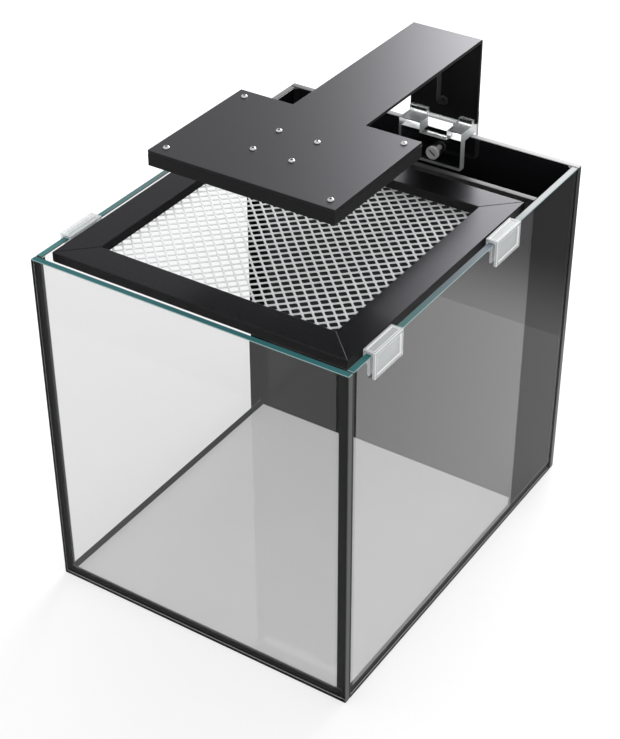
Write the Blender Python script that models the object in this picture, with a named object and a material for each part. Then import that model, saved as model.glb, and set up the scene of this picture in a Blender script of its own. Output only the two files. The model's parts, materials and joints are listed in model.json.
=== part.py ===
# Rimless all-in-one aquarium: glass tank with a rear filter chamber, a framed mesh lid on four
# clips, and a flat lamp that stands on a clear bracket clamped over the back pane.
# The origin is the centre of the tank's underside, the front faces -Y, and +Z is up.
import math

import bmesh
import bpy
from mathutils import Matrix, Vector

MM = 0.001
GAP = 0.3 * MM                      # clearance between neighbouring pieces

# Tank
TANK_WIDTH = 305 * MM
TANK_DEPTH = 386 * MM
TANK_HEIGHT = 337 * MM
GLASS = 6 * MM
JOINT = 1.2 * MM                    # silicone-filled joint between two panes
BEAD = 4 * MM                       # leg of a silicone fillet
DIVIDER_FRONT = 117 * MM
DIVIDER_TOP = 335 * MM
FILM_FRONT = 101 * MM               # where the black film on each side pane begins
SLOT_WIDTH = 3 * MM
SLOT_PITCH = 6 * MM
SLOT_COUNT = 8
SLOT_START = -130 * MM
SLOT_DEPTH = 28 * MM
BAFFLE = 4 * MM
BAFFLE_LEFT = -60 * MM
BAFFLE_RIGHT = 64 * MM

# Filter pieces
PUMP_AXIS = Vector((-34 * MM, 0, 28 * MM))
RETURN_X = -42 * MM                 # hose, elbow and nozzle stand on this line
RETURN_Y = 148 * MM
RETURN_Z = 295 * MM
HOSE_RADIUS = 7.5 * MM
ELBOW_RADIUS = 8 * MM
NOZZLE_BACK = 108 * MM

# Lid
LID_HALF_WIDTH = 142.2 * MM
LID_FRONT = -178 * MM
LID_BACK = 103.3 * MM
LID_BOTTOM = 330.4 * MM
RAIL_WIDTH = 28.4 * MM
RAIL_HEIGHT = 9 * MM
RAIL_WALL = 1.5 * MM

# Clips: centre along the side pane, by corner
CLIP_LENGTH = 41 * MM
CLIP_PLACES = {
    "front_left": (-1, -131.5 * MM),
    "front_right": (1, -140 * MM),
    "back_left": (-1, 51.5 * MM),
    "back_right": (1, 51.5 * MM),
}

# Lamp
LAMP_LEFT = -75.5 * MM
LAMP_RIGHT = 99 * MM
LAMP_FRONT = -129 * MM
LAMP_BACK = -1 * MM
LAMP_TOP = 430 * MM
SHEET = 3 * MM                      # thickness of the bent lamp plate
HOUSING_BOTTOM = 416.3 * MM
HOUSING_WALL = 2.5 * MM
ARM_LEFT = -23.5 * MM
ARM_RIGHT = 46.5 * MM
LEG_BACK = 196 * MM
LEG_BOTTOM = 347.3 * MM
CORNER_INSET = 10.5 * MM
CENTRE_SPACING = 36.5 * MM
SCREW_HOLE = 1.75 * MM

# Bracket and thumb screw
BRACKET_LEFT = -21 * MM
BRACKET_RIGHT = 44 * MM
BRACKET_FRONT = 168.8 * MM
BRACKET_FRONT_SHEET = 8 * MM
BRACKET_SHEET = 5 * MM
BRIDGE_BOTTOM = 337.4 * MM
BRIDGE_TOP = 346.9 * MM
THUMB_X = 16.3 * MM
THUMB_Z = 321.6 * MM

# Lead
CORD_RADIUS = 2 * MM
CORD_X = 12 * MM
GROMMET_Z = 363 * MM
COIL_CENTRE = Vector((-46 * MM, 251.5 * MM, 0))
COIL_INNER = 16 * MM                # centre line of the innermost turn
COIL_OUTER = 30 * MM                # centre line of the outermost turn
COIL_HEIGHT = 8.3 * MM
PLUG_Z = 5.3 * MM

# Route of the free lead behind the tank, from the grommet to the edge of the coil
LEAD_ROUTE = [
    (12, 198.7, 363), (12, 206, 363), (12, 212.7, 361.7), (12, 218.4, 357.9), (12, 222.2, 352.2),
    (12, 223.5, 345.5), (12.2, 223.8, 325), (12.8, 224, 290), (13.4, 224, 250), (13.4, 224, 210),
    (12.8, 224, 170), (12, 223.8, 130), (11.3, 223.4, 90), (11, 222.8, 55), (11, 222.4, 27.1),
    (9.1, 222.2, 17.5), (3.7, 222, 9.4), (-4.4, 221.8, 4.1), (-14, 221.6, 2.2),
    (-22, 221.5, 2.1), (-29.2, 221.5, 2.1),
]
# Route of the lamp's own cable, under the arm and down the front of the leg to the grommet
CABLE_ROUTE = [
    (12, -0.7, 423.8), (12, 40, 423.8), (12, 100, 423.8), (12, 155, 423.8), (12, 165, 422.6),
    (12, 173.5, 418.5), (12, 179, 411.5), (12, 181.6, 402), (12, 182, 390), (12, 182, 380),
    (12, 182, 371.5), (12, 183, 367), (12, 185.4, 364.1), (12, 188, 363), (12, 190.2, 363),
]


def clear_scene():
    for item in list(bpy.data.objects):
        bpy.data.objects.remove(item, do_unlink=True)


def make_material(name, colour, roughness, metallic=0.0, alpha=1.0):
    material = bpy.data.materials.new(name)
    material.use_nodes = True
    shader = material.node_tree.nodes["Principled BSDF"]
    shader.inputs["Base Color"].default_value = (*colour, 1)
    shader.inputs["Roughness"].default_value = roughness
    shader.inputs["Metallic"].default_value = metallic
    shader.inputs["Alpha"].default_value = alpha
    return material


def make_empty(name, location):
    empty = bpy.data.objects.new(name, None)
    empty.location = location
    empty.empty_display_size = 0.02
    bpy.context.collection.objects.link(empty)
    return empty


def place(item, material, parent=None):
    """Link an object, give it its material and hang it on its joint's empty."""
    bpy.context.collection.objects.link(item)
    item.data.materials.append(material)
    if parent:
        item.parent = parent
        item.location = Vector(item.location) - parent.location
    return item


def solid(name, mesh, material, parent=None, origin=None):
    """Finish a bmesh drawn in world coordinates as an object with its origin inside it."""
    bmesh.ops.recalc_face_normals(mesh, faces=mesh.faces)
    if origin is None:
        low = [min(vert.co[axis] for vert in mesh.verts) for axis in range(3)]
        high = [max(vert.co[axis] for vert in mesh.verts) for axis in range(3)]
        origin = (Vector(low) + Vector(high)) / 2
    bmesh.ops.translate(mesh, vec=-Vector(origin), verts=mesh.verts)
    data = bpy.data.meshes.new(name)
    mesh.to_mesh(data)
    mesh.free()
    item = bpy.data.objects.new(name, data)
    item.location = origin
    return place(item, material, parent)


def box(name, low, high, material, parent=None):
    mesh = bmesh.new()
    bmesh.ops.create_cube(mesh, size=1)
    centre = (Vector(low) + Vector(high)) / 2
    size = Vector(high) - Vector(low)
    bmesh.ops.scale(mesh, vec=size, verts=mesh.verts)
    bmesh.ops.translate(mesh, vec=centre, verts=mesh.verts)
    return solid(name, mesh, material, parent)


def point_on(axis, first, second, along):
    """World point from two coordinates in the plane across an axis and one along it."""
    if axis == "x":
        return (along, first, second)
    if axis == "y":
        return (first, along, second)
    return (first, second, along)


def prism(name, outline, axis, low, high, material, parent=None, origin=None):
    mesh = bmesh.new()
    near = [mesh.verts.new(point_on(axis, a, b, low)) for a, b in outline]
    far = [mesh.verts.new(point_on(axis, a, b, high)) for a, b in outline]
    mesh.faces.new(near)
    mesh.faces.new(list(reversed(far)))
    count = len(outline)
    for index in range(count):
        after = (index + 1) % count
        mesh.faces.new((near[after], near[index], far[index], far[after]))
    return solid(name, mesh, material, parent, origin)


def skin_rings(mesh, rings, closed):
    """Join rings of vertices into walls; a ring of one vertex is a pole."""
    pairs = list(zip(rings, rings[1:]))
    if closed:
        pairs.append((rings[-1], rings[0]))
    for first, second in pairs:
        count = max(len(first), len(second))
        for index in range(count):
            after = (index + 1) % count
            corners = []
            for ring, place_in_ring in ((first, index), (first, after), (second, after), (second, index)):
                vert = ring[place_in_ring % len(ring)]
                if vert not in corners:
                    corners.append(vert)
            if len(corners) > 2:
                mesh.faces.new(corners)


def turned(name, profile, axis, centre, material, parent=None, closed=False, steps=16, origin=None):
    """Turn a profile of (radius, height) about an axis through a centre."""
    mesh = bmesh.new()
    rings = []
    for radius, height in profile:
        ring = []
        for step in range(steps if radius > 0 else 1):
            angle = 2 * math.pi * step / steps
            first = radius * math.cos(angle)
            second = radius * math.sin(angle)
            ring.append(mesh.verts.new(Vector(centre) + Vector(point_on(axis, first, second, height))))
        rings.append(ring)
    skin_rings(mesh, rings, closed)
    item = solid(name, mesh, material, parent, origin)
    item.data.shade_smooth()
    item.data.set_sharp_from_angle(angle=math.radians(35))
    return item


def rectangle_ring(name, half_width, front, back, profile, material, parent=None):
    """Sweep a profile of (inset, height) round a rectangle, mitred at its corners."""
    mesh = bmesh.new()
    rings = []
    for side_x, side_y in ((-1, -1), (1, -1), (1, 1), (-1, 1)):
        ring = []
        for inset, height in profile:
            edge = back if side_y > 0 else front
            ring.append(mesh.verts.new((side_x * (half_width - inset), edge - side_y * inset, height)))
        rings.append(ring)
    skin_rings(mesh, rings, closed=True)
    return solid(name, mesh, material, parent)


def lofted(name, sections, centre, material, parent=None, steps=16):
    """Skin ellipses of (y, half width, half height) about a line along Y."""
    mesh = bmesh.new()
    rings = []
    for along, half_width, half_height in sections:
        ring = []
        for step in range(steps):
            angle = 2 * math.pi * step / steps
            x = centre[0] + half_width * math.cos(angle)
            z = centre[2] + half_height * math.sin(angle)
            ring.append(mesh.verts.new((x, along, z)))
        rings.append(ring)
    skin_rings(mesh, rings, closed=False)
    mesh.faces.new(rings[0])
    mesh.faces.new(list(reversed(rings[-1])))
    return solid(name, mesh, material, parent, centre)


def smooth_route(points, spacing):
    """Points a set distance apart on a smooth curve through the route's own points."""
    stops = [Vector(point) * MM for point in points]
    padded = [2 * stops[0] - stops[1]] + stops + [2 * stops[-1] - stops[-2]]
    fine = []
    for p0, p1, p2, p3 in zip(padded, padded[1:], padded[2:], padded[3:]):
        for step in range(20):
            t = step / 20
            bend = 2 * p0 - 5 * p1 + 4 * p2 - p3
            twist = 3 * p1 - p0 - 3 * p2 + p3
            fine.append((2 * p1 + (p2 - p0) * t + bend * t ** 2 + twist * t ** 3) / 2)
    fine.append(stops[-1])
    length = sum((b - a).length for a, b in zip(fine, fine[1:]))
    step_length = length / round(length / spacing)
    route = [fine[0]]
    travelled = 0.0
    for a, b in zip(fine, fine[1:]):
        piece = (b - a).length
        while travelled + piece >= step_length * len(route) and len(route) < round(length / spacing):
            route.append(a.lerp(b, (step_length * len(route) - travelled) / piece))
        travelled += piece
    route.append(fine[-1])
    return route


def tube(name, route, radius, material, parent=None, resolution=2):
    curve = bpy.data.curves.new(name, "CURVE")
    curve.dimensions = "3D"
    spline = curve.splines.new("POLY")
    spline.points.add(len(route) - 1)
    base = Vector(route[0])
    for point, stop in zip(spline.points, route):
        point.co = (*(Vector(stop) - base), 1)
    curve.bevel_depth = radius
    curve.bevel_resolution = resolution
    curve.use_fill_caps = True
    item = bpy.data.objects.new(name, curve)
    item.location = base
    return place(item, material, parent)


def carve(target, tools, operation="DIFFERENCE"):
    """Cut tools out of a piece, or unite them with it, and bake the result into its mesh."""
    for tool in tools:
        modifier = target.modifiers.new(operation.lower(), "BOOLEAN")
        modifier.operation = operation
        modifier.object = tool
    bpy.context.view_layer.update()
    evaluated = target.evaluated_get(bpy.context.evaluated_depsgraph_get())
    mesh = bpy.data.meshes.new_from_object(evaluated)
    target.modifiers.clear()
    target.data = mesh
    for tool in tools:
        bpy.data.objects.remove(tool, do_unlink=True)
    return target


def rod(axis, centre, radius, low, high, material, steps=16):
    """Plain round tool used for holes and bosses."""
    profile = [(0, low), (radius, low), (radius, high), (0, high)]
    return turned("tool", profile, axis, centre, material, steps=steps)


def make_glass(look):
    half_w = TANK_WIDTH / 2
    half_d = TANK_DEPTH / 2
    top = TANK_HEIGHT
    inner_w = half_w - GLASS
    inner_d = half_d - GLASS
    side_end = inner_d - JOINT
    clear = look["glass"]
    box("front_glass", (-half_w, -half_d, 0), (half_w, -inner_d, top), clear)
    box("back_glass", (-half_w, inner_d, 0), (half_w, half_d, top), look["black_glass"])
    box("left_glass", (-half_w, -side_end, 0), (-inner_w, side_end, top), clear)
    box("right_glass", (inner_w, -side_end, 0), (half_w, side_end, top), clear)
    floor_w = inner_w - JOINT
    box("bottom_glass", (-floor_w, -side_end, 0), (floor_w, side_end, GLASS), clear)


def make_seams(look):
    """Black silicone: a ring round the floor, and a bead in each upright corner."""
    rubber = look["silicone"]
    inner_w = TANK_WIDTH / 2 - GLASS - GAP
    inner_d = TANK_DEPTH / 2 - GLASS - GAP
    film = JOINT - 2 * GAP
    floor_top = GLASS + GAP
    profile = [(0, GAP), (0, floor_top + BEAD), (BEAD, floor_top), (film, floor_top), (film, GAP)]
    rectangle_ring("seam_base", inner_w, -inner_d, inner_d, profile, rubber)
    low = floor_top + BEAD + GAP
    high = TANK_HEIGHT - 0.5 * MM
    outer = TANK_WIDTH / 2 - 0.2 * MM
    leg = BEAD + 0.4 * MM
    for end, side_y in (("front", -1), ("back", 1)):
        for hand, side_x in (("left", -1), ("right", 1)):
            near = side_y * inner_d
            far = side_y * (inner_d - film)
            x_in = side_x * inner_w
            film_outline = [(side_x * (inner_w + GAP), near), (side_x * outer, near),
                            (side_x * outer, far), (side_x * (inner_w + GAP), far)]
            bead_outline = [(side_x * (inner_w + 1 * MM), near), (side_x * (inner_w + 1 * MM), far),
                            (x_in, far), (x_in, side_y * (inner_d - leg)),
                            (side_x * (inner_w - leg), near)]
            seam = prism(f"seam_{end}_{hand}", film_outline, "z", GAP, high, rubber)
            bead = prism("tool", bead_outline, "z", low, high, rubber)
            carve(seam, [bead], "UNION")
    for hand, side_x in (("left", -1), ("right", 1)):
        edges = sorted((side_x * inner_w, side_x * (inner_w - GAP)))
        back = inner_d - leg - GAP
        box(f"side_film_{hand}", (edges[0], FILM_FRONT, low), (edges[1], back, high), look["film"])


def make_divider(look):
    """Black wall in front of the filter chamber, with an overflow comb and the return hole."""
    half = TANK_WIDTH / 2 - GLASS - JOINT + 0.1 * MM
    low = GLASS + 0.5 * MM
    nip = 3.5 * MM
    outline = [(-half, DIVIDER_TOP), (half, DIVIDER_TOP), (half, low + nip), (half - nip, low),
               (nip - half, low), (-half, low + nip)]
    wall = prism("divider_wall", outline, "y", DIVIDER_FRONT, DIVIDER_FRONT + GLASS, look["black"])
    tools = []
    for index in range(SLOT_COUNT):
        start = SLOT_START + index * SLOT_PITCH
        tools.append(box("tool", (start, DIVIDER_FRONT - GLASS, DIVIDER_TOP - SLOT_DEPTH),
                         (start + SLOT_WIDTH, DIVIDER_FRONT + 2 * GLASS, DIVIDER_TOP + GLASS),
                         look["black"]))
    hole = ELBOW_RADIUS + 0.5 * MM
    tools.append(rod("y", (RETURN_X, 0, RETURN_Z), hole, DIVIDER_FRONT - GLASS,
                     DIVIDER_FRONT + 2 * GLASS, look["black"]))
    carve(wall, tools)


def make_baffles(look):
    front = DIVIDER_FRONT + GLASS + GAP
    back = TANK_DEPTH / 2 - GLASS - GAP
    half = BAFFLE / 2
    box("baffle_left", (BAFFLE_LEFT - half, front, 40 * MM), (BAFFLE_LEFT + half, back, 270 * MM),
        look["black"])
    box("baffle_right", (BAFFLE_RIGHT - half, front, 11 * MM), (BAFFLE_RIGHT + half, back, 255 * MM),
        look["black"])


def make_basket(look):
    """Open media basket with a slotted floor and its sponge, which lift out together."""
    lift = make_empty("basket_lift", (-102.5 * MM, 151 * MM, 60 * MM))
    left, right = -141 * MM, -64 * MM
    front, back = 123.8 * MM, 182 * MM
    wall = 2 * MM
    basket = box("media_basket", (left, front, 60 * MM), (right, back, 250 * MM), look["black"], lift)
    tools = [box("tool", (left + wall, front + wall, 60 * MM + wall),
                 (right - wall, back - wall, 260 * MM), look["black"])]
    for index in range(6):
        start = left + 9 * MM + index * 11 * MM
        tools.append(box("tool", (start, front + 8 * MM, 55 * MM),
                         (start + SLOT_WIDTH, back - 8 * MM, 65 * MM), look["black"]))
    carve(basket, tools)
    inset = wall + 1 * MM
    box("filter_sponge", (left + inset, front + inset, 63 * MM), (right - inset, back - inset, 150 * MM),
        look["sponge"], lift)


def make_pump(look):
    """Small submersible pump: body with an open volute, slotted intake cover and impeller."""
    black = look["plastic"]
    low, high = 6.8 * MM, 50 * MM
    left, right = -56 * MM, -12 * MM
    front, back = 128 * MM, 168 * MM
    body = box("pump_body", (left, front, low), (right, back, high), black)
    carve(body, [rod("y", PUMP_AXIS, 14 * MM, front - 5 * MM, 150 * MM, black)])
    spout = rod("z", (RETURN_X, RETURN_Y, 0), HOSE_RADIUS, high - 2 * MM, 62 * MM, black)
    carve(body, [spout], "UNION")
    cover = box("pump_intake", (left, front - 4 * MM, low), (right, front - GAP, high), black)
    tools = []
    for index in range(5):
        start = left + 9 * MM + index * 5.8 * MM
        tools.append(box("tool", (start, front - 9 * MM, low + 8 * MM),
                         (start + 2.6 * MM, front + 5 * MM, high - 8 * MM), black))
    carve(cover, tools)
    spin = make_empty("impeller_axis", PUMP_AXIS + Vector((0, 138 * MM, 0)))
    outline = []
    for blade in range(4):
        angle = blade * math.pi / 2
        for radius, turn in ((4.2 * MM, -0.75), (12.3 * MM, -0.075), (12.3 * MM, 0.075)):
            outline.append((PUMP_AXIS.x + radius * math.cos(angle + turn),
                            PUMP_AXIS.z + radius * math.sin(angle + turn)))
    prism("pump_impeller", outline, "y", 130 * MM, 146 * MM, look["nylon"], spin, spin.location)
    box("media_block", (-5 * MM, 124 * MM, low), (55 * MM, 167 * MM, 60 * MM), look["ceramic"])


def make_return(look):
    """Hose from the pump, the elbow through the divider and the swivelling nozzle."""
    hose = [(RETURN_X, RETURN_Y, 62.3 * MM), (RETURN_X, RETURN_Y, 166 * MM),
            (RETURN_X, RETURN_Y, 270 * MM)]
    tube("outlet_hose", hose, HOSE_RADIUS, look["rubber"], resolution=4)
    bend = 15 * MM
    route = [(RETURN_X, RETURN_Y, 270.3 * MM)]
    for step in range(7):
        angle = math.pi / 2 * step / 6
        route.append((RETURN_X, RETURN_Y - bend + bend * math.cos(angle),
                      RETURN_Z - bend + bend * math.sin(angle)))
    route.append((RETURN_X, NOZZLE_BACK + GAP, RETURN_Z))
    tube("return_elbow", route, ELBOW_RADIUS, look["plastic"], resolution=4)
    swivel = make_empty("nozzle_swivel", (RETURN_X, NOZZLE_BACK, RETURN_Z))
    sections = [(108 * MM, 9 * MM, 9 * MM), (101 * MM, 9 * MM, 9 * MM), (100 * MM, 7.5 * MM, 7.5 * MM),
                (94 * MM, 9.5 * MM, 5.8 * MM), (84 * MM, 14 * MM, 3 * MM)]
    lofted("return_nozzle", sections, swivel.location, look["plastic"], swivel)


def make_clips(look):
    """Clear clips over the side panes, each with a ledge under the lid's rail."""
    inner_w = TANK_WIDTH / 2 - GLASS
    outer_w = TANK_WIDTH / 2
    top = TANK_HEIGHT + 3.2 * MM
    inside = inner_w - 2.2 * MM
    outside = outer_w + 2.9 * MM
    flap_end = 316 * MM
    leg_end = 318 * MM
    ledge_top = LID_BOTTOM - 0.4 * MM
    ledge_end = inside - 8 * MM
    half_outline = [
        (outside, flap_end), (outside, top), (inside, top), (inside, ledge_top),
        (ledge_end, ledge_top), (ledge_end, ledge_top - 1.8 * MM), (inside, ledge_top - 1.8 * MM),
        (inside, leg_end), (inner_w - GAP, leg_end), (inner_w - GAP, TANK_HEIGHT + GAP),
        (outer_w + GAP, TANK_HEIGHT + GAP), (outer_w + GAP, flap_end),
    ]
    for corner, (side, centre) in CLIP_PLACES.items():
        slide = make_empty(f"clip_slide_{corner}", (side * outer_w, centre, TANK_HEIGHT))
        outline = [(side * x, z) for x, z in half_outline]
        prism(f"lid_clip_{corner}", outline, "y", centre - CLIP_LENGTH / 2, centre + CLIP_LENGTH / 2,
              look["clip"], slide, slide.location)


def make_lid(look):
    """Screen frame: four mitred tubes on corner keys, with netting held by a spline cord."""
    centre_y = (LID_FRONT + LID_BACK) / 2
    lift = make_empty("lid_lift", (0, centre_y, LID_BOTTOM))
    half_w = LID_HALF_WIDTH
    half_d = (LID_BACK - LID_FRONT) / 2
    groove_out = RAIL_WIDTH - 6.5 * MM
    groove_in = RAIL_WIDTH - 3 * MM
    groove = 3.5 * MM
    tube_profile = [(0, 0), (0, RAIL_HEIGHT), (RAIL_WIDTH, RAIL_HEIGHT), (RAIL_WIDTH, 0),
                    (groove_in, 0), (groove_in, groove), (groove_out, groove), (groove_out, 0)]
    hollow_in = groove_out - RAIL_WALL
    hollow = [(RAIL_WALL, RAIL_WALL), (RAIL_WALL, RAIL_HEIGHT - RAIL_WALL),
              (hollow_in, RAIL_HEIGHT - RAIL_WALL), (hollow_in, RAIL_WALL)]
    for name, across, along, turn in (("front", half_d, half_w, 0), ("right", half_w, half_d, 90),
                                      ("back", half_d, half_w, 180), ("left", half_w, half_d, 270)):
        rail = lid_rail(f"lid_rail_{name}", tube_profile, across, along, 0.25 * MM, turn, lift, look)
        bore = lid_rail("tool", hollow, across, along, -5 * MM, turn, lift, look)
        carve(rail, [bore])
    for side_x, side_y, corner in ((-1, -1, "front_left"), (1, -1, "front_right"),
                                   (1, 1, "back_right"), (-1, 1, "back_left")):
        lid_key(f"lid_key_{corner}", side_x, side_y, hollow_in, lift, look)
    spline_profile = [(groove_out + GAP, GAP), (groove_out + GAP, groove - GAP),
                      (groove_in - GAP, groove - GAP), (groove_in - GAP, GAP)]
    raised = [(inset, LID_BOTTOM + height) for inset, height in spline_profile]
    rectangle_ring("lid_spline", half_w, LID_FRONT, LID_BACK, raised, look["rubber"], lift)
    edge = groove_out - 1 * MM
    box("lid_mesh", (edge - half_w, LID_FRONT + edge, LID_BOTTOM - 0.9 * MM),
        (half_w - edge, LID_BACK - edge, LID_BOTTOM - GAP), look["netting"], lift)


def lid_rail(name, profile, across, along, end_gap, turn, lift, look):
    """One rail with its outer side towards -Y before the turn, its ends cut at 45 degrees."""
    mesh = bmesh.new()
    rings = []
    for side in (-1, 1):
        ring = []
        for inset, height in profile:
            reach = along - inset - end_gap
            ring.append(mesh.verts.new((side * reach, inset - across, height)))
        rings.append(ring)
    skin_rings(mesh, rings, closed=False)
    mesh.faces.new(rings[0])
    mesh.faces.new(list(reversed(rings[1])))
    bmesh.ops.rotate(mesh, verts=mesh.verts, matrix=Matrix.Rotation(math.radians(turn), 3, "Z"))
    bmesh.ops.translate(mesh, verts=mesh.verts, vec=lift.location)
    return solid(name, mesh, look["anodised"], lift)


def lid_key(name, side_x, side_y, hollow_in, lift, look):
    """L-shaped key inside two rails."""
    reach = 45 * MM
    out = RAIL_WALL + GAP
    inner = hollow_in - GAP
    steps = [(out, out), (reach, out), (reach, inner), (inner, inner), (inner, reach), (out, reach)]
    edge = LID_BACK if side_y > 0 else LID_FRONT
    outline = [(side_x * (LID_HALF_WIDTH - a), edge - side_y * b) for a, b in steps]
    prism(name, outline, "z", LID_BOTTOM + RAIL_WALL + GAP, LID_BOTTOM + RAIL_HEIGHT - RAIL_WALL - GAP,
          look["plastic"], lift)


def screw_places():
    """Eight screw centres on the lamp's head: one at each corner, and a square in the middle."""
    middle_x = (LAMP_LEFT + LAMP_RIGHT) / 2
    middle_y = (LAMP_FRONT + LAMP_BACK) / 2
    half = CENTRE_SPACING / 2
    places = {}
    for end, side_y in (("front", -1), ("back", 1)):
        for hand, side_x in (("left", -1), ("right", 1)):
            corner_x = (LAMP_RIGHT - CORNER_INSET) if side_x > 0 else (LAMP_LEFT + CORNER_INSET)
            corner_y = (LAMP_BACK - CORNER_INSET) if side_y > 0 else (LAMP_FRONT + CORNER_INSET)
            places[f"corner_screw_{end}_{hand}"] = (corner_x, corner_y)
            places[f"centre_screw_{end}_{hand}"] = (middle_x + side_x * half, middle_y + side_y * half)
    return places


def make_lamp(look):
    lift = make_empty("lamp_lift", ((ARM_LEFT + ARM_RIGHT) / 2, LEG_BACK - SHEET / 2, LEG_BOTTOM))
    metal = look["anodised"]
    under = LAMP_TOP - SHEET
    bend = 2 * MM
    side_view = [(LAMP_BACK - 9 * MM, LAMP_TOP), (LAMP_BACK - 9 * MM, under), (LEG_BACK - SHEET, under),
                 (LEG_BACK - SHEET, LEG_BOTTOM), (LEG_BACK, LEG_BOTTOM), (LEG_BACK, LAMP_TOP - bend),
                 (LEG_BACK - 0.6 * MM, LAMP_TOP - 0.6 * MM), (LEG_BACK - bend, LAMP_TOP)]
    plate = prism("lamp_plate", side_view, "x", ARM_LEFT, ARM_RIGHT, metal, lift)
    head = box("tool", (LAMP_LEFT, LAMP_FRONT, under), (LAMP_RIGHT, LAMP_BACK, LAMP_TOP), metal)
    carve(plate, [head], "UNION")
    places = screw_places()
    tools = [rod("z", (x, y, 0), SCREW_HOLE, under - SHEET, LAMP_TOP + SHEET, metal, 12)
             for x, y in places.values()]
    tools.append(rod("y", (CORD_X, 0, GROMMET_Z), 3.5 * MM, LEG_BACK - 2 * SHEET, LEG_BACK + SHEET, metal))
    carve(plate, tools)
    make_housing(look, lift, under - GAP, places)
    for name, (x, y) in places.items():
        depth = 421.5 * MM if name.startswith("corner") else 423.6 * MM
        seat = LAMP_TOP + GAP
        profile = [(0, depth), (1.4 * MM, depth), (1.4 * MM, seat), (2.75 * MM, seat),
                   (2.6 * MM, seat + 0.8 * MM), (1.9 * MM, seat + 1.3 * MM), (0, seat + 1.3 * MM)]
        turned(name, profile, "z", (x, y, 0), look["steel"], lift, steps=12)
    cable = smooth_route(CABLE_ROUTE, 8 * MM)
    tube("lamp_cable", cable, CORD_RADIUS, look["rubber"], lift)
    flange, neck = 4.7 * MM, 3.1 * MM
    profile = [(0, 191 * MM), (flange, 191 * MM), (flange, 192.7 * MM), (neck, 192.7 * MM),
               (neck, 196.3 * MM), (flange, 196.3 * MM), (flange, 198.4 * MM), (0, 198.4 * MM)]
    turned("cable_grommet", profile, "y", (CORD_X, 0, GROMMET_Z), look["rubber"], lift)


def make_housing(look, lift, top, places):
    """Tray under the plate, with the window on its ledge, the light board and the heat spreader."""
    metal = look["anodised"]
    wall = HOUSING_WALL
    ledge = HOUSING_BOTTOM + 2 * MM
    tray = box("lamp_housing", (LAMP_LEFT, LAMP_FRONT, HOUSING_BOTTOM), (LAMP_RIGHT, LAMP_BACK, top),
               metal, lift)
    lip = 8 * MM
    cavity = box("tool", (LAMP_LEFT + wall, LAMP_FRONT + wall, ledge),
                 (LAMP_RIGHT - wall, LAMP_BACK - wall, top + wall), metal)
    mouth = box("tool", (LAMP_LEFT + lip, LAMP_FRONT + lip, HOUSING_BOTTOM - wall),
                (LAMP_RIGHT - lip, LAMP_BACK - lip, ledge + wall), metal)
    carve(tray, [cavity, mouth])
    post_bottom = 420.9 * MM
    half_post = 4.5 * MM
    posts = []
    holes = []
    for name, (x, y) in places.items():
        if name.startswith("corner"):
            far_x = LAMP_RIGHT - wall / 2 if x > 0 else LAMP_LEFT + wall / 2
            far_y = LAMP_BACK - wall / 2 if y > LAMP_FRONT / 2 else LAMP_FRONT + wall / 2
            near_x = x - half_post if x > 0 else x + half_post
            near_y = y - half_post if y > LAMP_FRONT / 2 else y + half_post
            low = (min(far_x, near_x), min(far_y, near_y), post_bottom)
            high = (max(far_x, near_x), max(far_y, near_y), top)
            posts.append(box("tool", low, high, metal))
            holes.append(rod("z", (x, y, 0), SCREW_HOLE, post_bottom - wall, top + wall, metal, 12))
    carve(tray, posts, "UNION")
    carve(tray, holes)
    edge = wall + 0.5 * MM
    box("lamp_window", (LAMP_LEFT + edge, LAMP_FRONT + edge, ledge + GAP),
        (LAMP_RIGHT - edge, LAMP_BACK - edge, ledge + GAP + 2 * MM), look["acrylic"], lift)
    inset = 16 * MM
    low_x, high_x = LAMP_LEFT + inset, LAMP_RIGHT - inset
    low_y, high_y = LAMP_FRONT + inset, LAMP_BACK - inset
    box("lamp_led_board", (low_x, low_y, 421.2 * MM), (high_x, high_y, 422.8 * MM), look["board"], lift)
    spreader = box("lamp_heat_spreader", (low_x, low_y, 423.1 * MM), (high_x, high_y, top - GAP),
                   look["aluminium"], lift)
    taps = [rod("z", (x, y, 0), SCREW_HOLE, 420 * MM, LAMP_TOP, metal, 12)
            for name, (x, y) in places.items() if name.startswith("centre")]
    carve(spreader, taps)


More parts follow.
